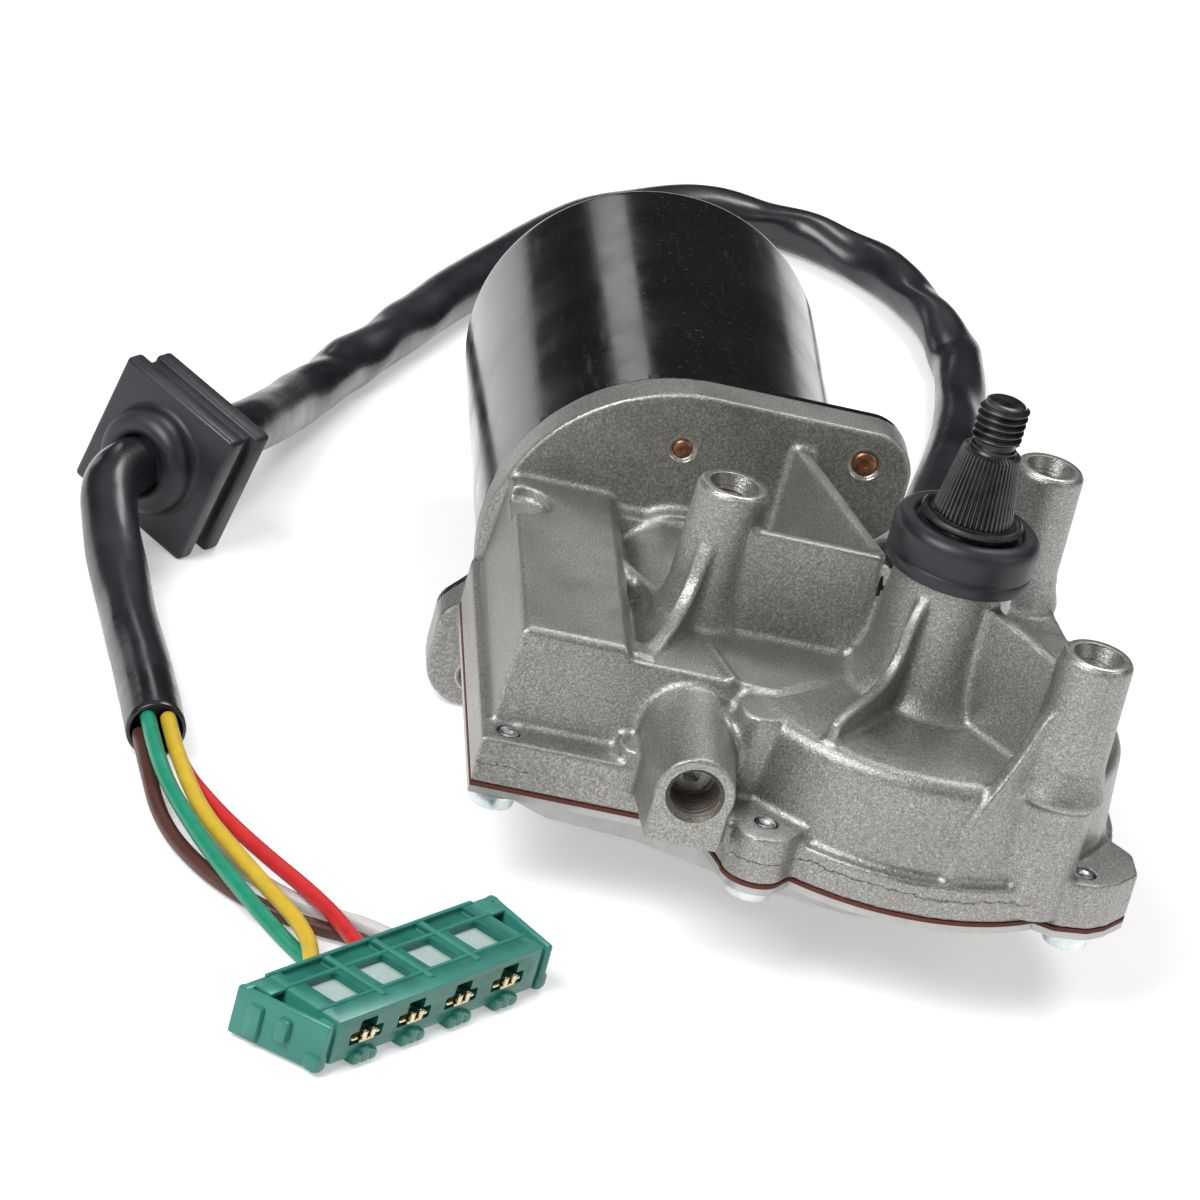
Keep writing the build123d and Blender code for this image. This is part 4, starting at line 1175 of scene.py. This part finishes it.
# --- Output shaft ---
@dataclass
class OutputShaft(SubAssembly):
    """Output shaft: knurled taper, neck and threaded end."""

    foot: float = 9.0
    journal: float = 8.0
    knurl_low: float = 65.6
    knurl_high: float = 79.2
    knurl_wide: float = 8.0
    knurl_narrow: float = 5.85
    teeth: int = 46
    tooth_depth: float = 0.42
    neck: float = 4.5
    thread_start: float = 80.6
    top: float = 90.0
    thread_radius: float = 4.95
    pitch: float = 1.5
    body = Body.OUTPUT

    def knurl(self) -> Piece:
        """Makes the toothed taper."""
        low, high, wide, narrow = self.knurl_low, self.knurl_high, self.knurl_wide, self.knurl_narrow
        taper = Bench.circle("knurl", wide, low, self.teeth * 4)
        for edge in taper.data.edges:
            edge.select = False
        for vertex in taper.data.vertices:
            vertex.select = vertex.index % 4 in (0, 1)
        share = 1 - self.tooth_depth / wide
        Bench.take(taper)
        bpy.ops.object.mode_set(mode="EDIT")
        bpy.ops.transform.resize(value=(share, share, 1), center_override=(0, 0, low * MM))
        bpy.ops.mesh.select_all(action="SELECT")
        bpy.ops.mesh.edge_face_add()
        steps = [(narrow + (wide - narrow) * (1 - k / 6), low + (high - low) * k / 6) for k in range(1, 7)]
        Bench.climb([(wide, low), *steps, (narrow - 0.9, high + 0.5)])
        Bench.outward(taper)
        return taper

    def build(self) -> None:
        """Makes the core, the knurl and the thread."""
        core_radius = self.thread_radius - 0.85
        low, high, narrow = self.knurl_low, self.knurl_high, self.knurl_narrow - 1.0
        core = Bench.lathe("shaft_core", [
            (self.journal, self.foot), (self.journal, low - 0.4), (self.journal - 0.5, low),
            (narrow, low + 0.5), (narrow, high), (self.neck + 0.3, high + 0.5), (self.neck, high + 0.9),
            (self.neck, self.thread_start - 0.1), (core_radius, self.thread_start + 0.3),
            (core_radius, self.top - 1.3), (core_radius - 0.15, self.top - 0.4),
            (core_radius - 0.7, self.top - 0.05), (core_radius - 1.3, self.top), (0.6, self.top)], 72)
        crest, root, pitch = self.thread_radius - 0.03, core_radius - 0.05, self.pitch
        thread = Bench.thread("shaft_thread", [(root, 0), (crest - 0.06, pitch * 0.38), (crest, pitch * 0.44),
                                               (crest, pitch * 0.56), (crest - 0.06, pitch * 0.62),
                                               (root, pitch)], pitch, 5, 56)
        thread.data.transform(Matrix.Translation((0, 0, (self.thread_start + 0.1) * MM)))
        shaft = Bench.join("shaft_top", [core, self.knurl(), thread])
        self.fix(Bench.settle(shaft, upright(0, 0)), "black_oxide", "output_shaft", angle=28.0)


@dataclass
class Cap(SubAssembly):
    """Rubber cap on the column."""

    low: float = 53.5
    high: float = 64.0
    radius: float = 14.6

    def build(self) -> None:
        """Makes the cap with its lip and its inner lips."""
        low, high, radius = self.low, self.high, self.radius
        rings = [(12.9, low + 2.0), (12.9, low + 0.2), (13.3, low), (14.0, low + 0.1), (14.5, low + 0.5),
                 (radius, low + 1.2), (radius, low + 2.6), (radius - 0.25, low + 3.0),
                 (radius - 0.1, low + 3.4), (radius, low + 4.0), (radius, high - 3.0),
                 (radius - 0.1, high - 2.0), (radius - 0.5, high - 1.0), (radius - 1.2, high - 0.35),
                 (radius - 2.1, high), (radius - 2.9, high), (radius - 3.5, high - 0.3),
                 (radius - 3.8, high - 0.9), (radius - 4.0, high - 1.3), (8.4, high - 1.5), (8.3, high - 2.8),
                 (11.3, high - 3.0), (11.3, 58.1), (12.1, 58.1), (12.1, low + 2.0), (12.9, low + 2.0)]
        self.fix(Bench.lathe("shaft_cap", rings, 96, upright(0, 0)), "black_rubber", "rubber_cap", angle=40.0)


@dataclass
class Collar(SubAssembly):
    """Spring collar that turns with the shaft above the cap."""

    seat: float = 64.2
    thickness: float = 1.4
    radius: float = 10.2
    bore: float = 8.02
    body = Body.OUTPUT

    def build(self) -> None:
        """Makes the collar with its rounded rim."""
        low, high, radius, bore = self.seat, self.seat + self.thickness, self.radius, self.bore
        rings = [(bore, low), (radius - 0.3, low), (radius, low + 0.3), (radius, high - 0.5),
                 (radius - 0.4, high - 0.1), (radius - 1.0, high), (9.0, high - 0.1), (8.6, high - 0.35),
                 (bore, high - 0.4), (bore, low)]
        collar = Bench.lathe("shaft_collar_ring", rings, 96, upright(0, 0))
        self.fix(collar, "black_oxide", "shaft_collar", angle=35.0)


# --- Screws ---
@dataclass
class Screws(SubAssembly):
    """Cover screws with their threaded tips, and the screw ends in the motor flange."""

    seat: float = -2.2
    head: float = 4.5
    head_height: float = 3.4
    tip: float = 10.6
    pitch: float = 0.7
    turns: int = 6
    flange_front: float = 54.0
    ears: tuple[Ring, ...] = ((33.0, 32.0), (-33.0, -32.0))
    ear_radius: float = 2.6
    plate_circle: float = 27.2
    plate_angles: tuple[float, ...] = (98.0, 218.0, 338.0)
    plate_radius: float = 2.0

    def cover_screw(self) -> Piece:
        """Makes one cover screw about Z, its heights from the datum."""
        low, head, seat, tip, pitch = self.seat - self.head_height, self.head, self.seat, self.tip, self.pitch
        body = Bench.lathe("cover_screw", [
            (1.7, low + 1.8), (1.75, low + 0.3), (1.95, low), (head - 0.7, low), (head - 0.2, low + 0.25),
            (head, low + 0.7), (head, seat - 0.9), (head + 0.1, seat - 0.8), (head + 0.7, seat - 0.5),
            (head + 0.7, seat), (1.66, seat), (1.66, tip - 0.5), (1.1, tip - 0.1), (0.3, tip)], 36)
        thread = Bench.thread("tip_thread", [(1.6, 0), (1.96, pitch * 0.42), (1.96, pitch * 0.58),
                                             (1.6, pitch)], pitch, self.turns, 24)
        thread.data.transform(Matrix.Translation((0, 0, (tip - 0.5 - pitch * (self.turns + 1)) * MM)))
        return Bench.join("cover_screw", [body, thread])

    def end(self, x: float, z: float, radius: float) -> tuple[Piece, Piece]:
        """Makes one coppery screw end and its bright countersink.

        Args:
            x: distance from the armature axis, sideways.
            z: distance from the armature axis, upwards.
            radius: radius of the screw end.
        Returns:
            The screw end and the countersink.
        """
        place = Matrix.Translation((x * MM, 0, z * MM)) @ axle(self.flange_front)
        button = [(radius, 5.0), (radius, 0.5), (radius - 0.25, 0.2), (radius - 0.7, 0.02),
                  (radius * 0.35, -0.04), (radius * 0.28, 0.3), (0.2, 0.32)]
        ring = [(radius + 0.1, 0.9), (radius + 0.05, 0.5), (radius + 0.75, -0.06),
                (radius + 1.1, -0.08), (radius + 1.1, 0.9), (radius + 0.1, 0.9)]
        return Bench.lathe("screw_end", button, 36, place), Bench.lathe("seat_ring", ring, 40, place)

    def build(self) -> None:
        """Makes all the screws."""
        pattern = self.cover_screw()
        screws = [Bench.copy(pattern, upright(x, y)) for x, y in LID_SCREWS]
        bpy.data.objects.remove(pattern)
        self.fix(Bench.join("lid_screws", screws), "zinc_steel", "cover_screws", angle=35.0)
        turns = [math.radians(angle) for angle in self.plate_angles]
        ears = [self.end(x, z, self.ear_radius) for x, z in self.ears]
        plates = [self.end(self.plate_circle * math.cos(turn), self.plate_circle * math.sin(turn),
                           self.plate_radius) for turn in turns]
        seats = [seat for _, seat in ears + plates]
        for name, ends in (("ear_screw_ends", ears), ("plate_screw_ends", plates)):
            self.fix(Bench.join(name, [end for end, _ in ends]), "copper_screw", angle=35.0)
        self.fix(Bench.join("screw_seats", seats), "cast_aluminium", angle=35.0, finish="bare_seat")


# --- Grommet ---
@dataclass
class Grommet(SubAssembly):
    """Square rubber grommet with a panel groove and a collar round the sleeve."""

    size: float = 31.4
    front: float = 4.6
    groove: float = 9.0
    depth: float = 13.6
    centre: Point = (-148.7, 103.4, -5.279)
    heading: Ring = (-0.618, -0.786)
    tilt: float = -12.0

    def frame(self) -> Matrix:
        """Placement: local Z leaves the front face, local X runs along the lower edge."""
        facing = Vector((*self.heading, 0)).normalized()
        across = Vector((-facing.y, facing.x, 0))
        return set_down(self.centre, across, facing.cross(across), facing) @ Matrix.Rotation(
            math.radians(self.tilt), 4, "Z")

    def build(self) -> None:
        """Makes the plates, the groove, the collar and its lip."""
        size, front, groove, depth = self.size, self.front, self.groove, self.depth
        made = [Bench.block(name, centre, (side, side, thick), bevel, segments)
                for name, centre, side, thick, bevel, segments in (
                    ("plate", (0, 0, -front / 2), size, front, 1.0, 3),
                    ("neck", (0, 0, -(front + groove) / 2), size - 3.6, groove - front + 1.0, 0.6, 2),
                    ("rear", (0.6, -0.4, -groove - (depth - groove) / 2), size - 1, depth - groove, 1.0, 3),
                    ("lip", (0, 0, -groove - 0.7), size - 3.4, 1.2, 0.4, 2))]
        made.append(Bench.lathe("collar", [
            (12.4, -1.0), (12.4, 0.0), (11.9, 0.2), (11.4, 0.8), (11.2, 1.6), (11.15, 2.6), (10.9, 3.8),
            (10.1, 4.9), (9.0, 5.6), (7.9, 5.8), (6.9, 5.5), (6.2, 4.6), (5.9, 3.4), (5.9, -1.0)], 72))
        made.append(Bench.lathe("tail", [(12.4, 1.0 - depth), (12.4, 0.2 - depth), (11.2, -0.3 - depth),
                                         (6.4, -0.4 - depth), (6.2, 1.0 - depth)], 72))
        body = Bench.settle(Bench.join("grommet_body", made), self.frame())
        self.fix(body, "black_rubber", "grommet", angle=40.0)


# --- Plug ---
@dataclass
class Plug(SubAssembly):
    """Flat translucent plug with four cells, windows, latch arms and spring terminals."""

    centre: Point = (-95.5, -79.0, -23.2)
    heading: Ring = (0.664, 0.747)
    length: float = 74.0
    depth: float = 19.0
    height: float = 10.4
    pitch: float = 13.8
    cells: int = 4
    lift: float = 1.2
    wing: float = 7.0
    arm_lean: float = 13.0

    def frame(self) -> Matrix:
        """Placement: local X runs along the plug, local Y towards the wires."""
        along = Vector((*self.heading, 0)).normalized()
        return set_down(self.centre, along, Vector((-along.y, along.x, 0)), Vector((0, 0, 1)))

    def places(self) -> list[float]:
        """Distances of the cells from the middle."""
        return [self.pitch * (index - (self.cells - 1) / 2) for index in range(self.cells)]

    def shell(self) -> Piece:
        """Makes the main body with its cells, windows and rear recesses."""
        front, top = -self.depth / 2, self.height
        body = Bench.block("plug_body", (0, 0, (self.lift + top) / 2),
                           (self.length - 2 * self.wing, self.depth, top - self.lift), 0.6)
        for place in self.places():
            for name, y, z, size in (("cell", front + 3.0, 5.4, (9.4, 13.0, 2.6)),
                                     ("slot", front + 0.4, 6.6, (4.8, 6.0, 4.6)),
                                     ("window", -0.2, top, (8.6, 7.4, 3.6)),
                                     ("recess", 6.6, top + 0.3, (11.6, 3.8, 2.6))):
                Bench.cut(body, Bench.block(name, (place, y, z), size, 0.3, 1))
        return body

    def trims(self) -> list[Piece]:
        """Makes the keys under the cells and the rails on top."""
        front, top = -self.depth / 2, self.height
        made = []
        for place in self.places():
            for shift, tall in ((-2.2, 2.2), (0.0, 3.0), (2.2, 2.2)):
                made.append(Bench.block("key", (place + shift, front + 0.5, tall / 2), (2.6, 3.6, tall), 0.7))
        for place in [value + self.pitch / 2 for value in self.places()[:-1]]:
            made.append(Bench.block("bar", (place, 0.8, top - 0.1), (1.3, 15.0, 0.9), 0.2, 1))
        for level, wide in ((front + 5.0, 0.8), (4.2, 0.9), (8.9, 0.9)):
            made.append(Bench.block("rail", (0, level, top - 0.15), (60.0, wide, 0.9), 0.2, 1))
        return made

    def wings(self) -> list[Piece]:
        """Makes the slanting latch arms, wide on the wire side, with their hooks."""
        made = []
        front, back = -self.depth / 2, self.depth / 2
        end, tall = self.length / 2, self.height
        for side in (-1, 1):
            arm = Bench.block("arm", (0, 0, tall / 2), (1.8, self.depth + 0.6, tall - 0.6), 0.5)
            lean = Matrix.Rotation(math.radians(-side * self.arm_lean), 4, "Z")
            made.append(Bench.settle(arm, Matrix.Translation((side * (end - 2.8) * MM, 0, 0)) @ lean))
            for name, place, size, bevel in (
                    ("back_bar", (end - 4.4, back - 1.2, tall / 2 + 0.6), (8.6, 1.8, tall - 1.6), 0.4),
                    ("lip", (end - 5.4, back - 3.4, tall - 0.5), (5.4, 4.6, 0.9), 0.3),
                    ("root", (end - 6.6, front + 2.4, tall / 2 + 0.2), (4.2, 3.4, tall - 2.2), 0.5),
                    ("toe", (end - 4.6, front + 1.6, 2.0), (3.4, 3.6, 3.4), 0.9),
                    ("hook", (end - 0.9, back - 4.8, tall / 2 - 0.6), (2.0, 3.4, tall - 3.2), 0.7),
                    ("tooth", (end - 1.8, -1.4, tall / 2 + 0.6), (2.2, 2.8, 4.6), 0.7),
                    ("stay", (end - 6.2, 1.0, 3.2), (5.4, 1.4, 3.6), 0.3)):
                made.append(Bench.block(name, (side * place[0], place[1], place[2]), size, bevel))
        return made

    def clips(self) -> Piece:
        """Makes the spring terminals: a folded box with two leaves in each cell."""
        front = -self.depth / 2
        rows = [("clip", 0, front + 6.4, 5.4, (5.2, 8.0, 2.4), 0.3, 1)]
        for side in (-1, 1):
            rows += [("leaf", side * 1.2, front + 2.0, 6.6, (1.3, 5.6, 0.5), 0.15, 1),
                     ("fold", side * 1.2, front - 0.3, 5.9, (1.3, 1.0, 2.0), 0.35, 2),
                     ("ear", side * 3.1, front + 0.5, 5.2, (1.8, 1.0, 0.8), 0.2, 1)]
        rows += [("tongue", 0, front + 2.2, 4.6, (4.2, 5.2, 0.6), 0.15, 1),
                 ("crimp", 0, 3.6, 4.6, (4.2, 9.6, 2.8), 0.8, 2)]
        made = [Bench.block(name, (place + x, y, z), size, bevel, segments)
                for place in self.places() for name, x, y, z, size, bevel, segments in rows]
        return Bench.join("plug_clips", made)

    def build(self) -> None:
        """Makes the plug and its terminals."""
        body = Bench.join("plug_body", [self.shell(), *self.trims(), *self.wings()])
        self.fix(Bench.settle(body, self.frame()), "green_plastic", "connector_housing")
        plates = Bench.join("plug_windows", [
            Bench.block("window_plate", (place, -0.2, self.height - 1.7), (9.0, 7.8, 0.6), 0.2, 1)
            for place in self.places()])
        self.fix(Bench.settle(plates, self.frame()), "green_plastic", finish="pale_nylon")
        self.fix(Bench.settle(self.clips(), self.frame()), "terminal_brass", "connector_terminals")


# --- Studio ---
@dataclass(frozen=True)
class SoftBox:
    """Soft lamp: place from the datum and size in metres, power in watts."""

    name: str
    place: Point
    size: Ring
    power: float


@dataclass(frozen=True)
class Studio:
    """Pale floor, soft light and the camera."""

    camera_place: Point = (-0.24854625, -1.13840233, 0.5504878)
    camera_turn: Point = (64.93837, -14.20559, -2.56613)
    lens: float = 195.102
    sensor: float = 36.0
    floor_size: float = 14.0
    floor_gap: float = 0.0002
    wall_light: float = 0.45
    wall_greys: tuple[Ring, ...] = ((0.495, 0.70), (0.505, 0.22), (0.58, 0.07), (0.72, 0.10), (0.84, 0.70))
    lamps: tuple[SoftBox, ...] = (
        SoftBox("key", (-0.95, -0.75, 1.15), (0.8, 0.8), 24.0),
        SoftBox("top", (0.35, 0.75, 1.6), (0.7, 0.5), 11.0),
        SoftBox("fill", (1.35, -0.6, 0.8), (0.7, 0.7), 4.0),
        SoftBox("strip", (-0.36, 1.6, 0.72), (0.22, 0.6), 0.7),
        SoftBox("side_strip", (-0.95, 1.55, 0.22), (0.12, 0.5), 0.5))

    def camera(self) -> None:
        """Sets up the camera."""
        turn = Euler([math.radians(value) for value in self.camera_turn], "XYZ")
        bpy.ops.object.camera_add(location=DATUM.place(self.camera_place), rotation=turn)
        camera = bpy.context.object
        camera.name = "camera"
        camera.data.lens = self.lens
        camera.data.sensor_width = self.sensor
        camera.data.clip_end = 50.0
        bpy.context.scene.camera = camera

    def backdrop(self) -> None:
        """Lays the floor under the object."""
        low = CAD_BOUNDS[0][2] - self.floor_gap
        bpy.ops.mesh.primitive_plane_add(size=self.floor_size, location=(0, 0, low))
        floor = bpy.context.object
        floor.name = "floor"
        FloorPaper().apply(floor)

    def walls(self) -> None:
        """Makes the studio's plain walls: pale below, dim at eye level, pale overhead."""
        world = bpy.data.worlds.new("studio_world")
        bpy.context.scene.world = world
        world.use_nodes = True
        tree = Tree(world.node_tree)
        level = tree.axes(tree.add("ShaderNodeTexCoord").outputs["Generated"])[2]
        ramp = tree.add("ShaderNodeValToRGB", {0: tree.math("MULTIPLY_ADD", level, 0.5)})
        stops = ramp.color_ramp.elements
        stops[0].position, stops[0].color = 0.0, rgb(0.70, 0.70, 0.70)
        stops[1].position, stops[1].color = 1.0, rgb(0.95, 0.95, 0.95)
        for place, grey in self.wall_greys:
            stops.new(place).color = rgb(grey, grey, grey * 1.02)
        background = world.node_tree.nodes["Background"]
        tree.feed(background.inputs["Color"], ramp.outputs[0])
        background.inputs["Strength"].default_value = self.wall_light

    def light(self) -> None:
        """Places the soft boxes, turned to the object."""
        for box in self.lamps:
            bpy.ops.object.light_add(type="AREA", location=DATUM.place(box.place))
            lamp = bpy.context.object
            lamp.name = box.name
            lamp.data.shape = "RECTANGLE"
            lamp.data.size, lamp.data.size_y = box.size
            lamp.data.energy = box.power
            aim = DATUM.at(-30, 60, 10) - lamp.location
            lamp.rotation_euler = aim.to_track_quat("-Z", "Y").to_euler()

    def set_up(self) -> None:
        """Sets up camera, floor, walls and light."""
        Bench.clear()
        self.camera()
        self.backdrop()
        self.walls()
        self.light()
        bpy.context.scene.view_settings.view_transform = "Standard"


REAR_KINKS = tuple(Kink(*row) for row in (
    (150.0, 80.0, 0.9, 18.0, 15.0), (205.0, 60.0, 1.4, 15.0, 25.0), (236.0, 110.0, 1.7, 10.0, -30.0),
    (262.0, 60.0, 1.9, 12.0, 35.0), (290.0, 115.0, 1.8, 9.0, -30.0), (314.0, 60.0, 1.6, 11.0, 35.0),
    (346.0, 95.0, 1.1, 14.0, -20.0), (468.0, 100.0, 0.8, 11.0, 35.0), (484.0, 55.0, 0.9, 10.0, -35.0),
    (500.0, 110.0, 1.0, 10.0, 40.0), (516.0, 70.0, 1.0, 9.0, -40.0), (534.0, 105.0, 0.7, 10.0, 30.0)))
FRONT_KINKS = (Kink(30.0, 60.0, 0.7, 12.0, 25.0), Kink(54.0, 130.0, 0.6, 14.0, -20.0))


class WiperMotor:
    """The whole dressed motor."""

    def __init__(self) -> None:
        """Makes the finishes and the sub-assemblies in order."""
        palette = self.palette = Palette()
        self.rear = Sleeve(palette, REAR, REAR_KINKS, "cable_sleeve_rear")
        self.front = Sleeve(palette, FRONT, FRONT_KINKS, "cable_sleeve_front", open_end=9.0)
        self.wires = [Wire(palette, route) for route in WIRES]
        self.grommet, self.plug = Grommet(palette), Plug(palette)
        self.parts = [self.rear, self.front, *self.wires, self.grommet, self.plug, GearHousing(palette),
                      MotorCan(palette), OutputShaft(palette), Cap(palette), Collar(palette), Screws(palette)]

    def build(self) -> None:
        """Builds, dresses and reports every sub-assembly."""
        self.palette.dress_nodes()
        for part in self.parts:
            part.build()
            for piece in part.done:
                LOG.info("%s: %s rides on %s", type(part).__name__, piece.name, part.body.value)
        self.rear.declare(self.rear.done[0], self.rear.centreline, self.grommet.done)
        self.front.declare(self.front.done[0], self.front.centreline)
        for wire in self.wires:
            wire.declare(wire.done[0], None, self.plug.done)


def main() -> None:
    """Builds the motor in its studio."""
    logging.basicConfig(level=logging.INFO, format="%(name)s %(message)s")
    Bench.clear()
    Studio().set_up()
    WiperMotor().build()
    bpy.context.view_layer.update()


if __name__ == "__main__":
    main()
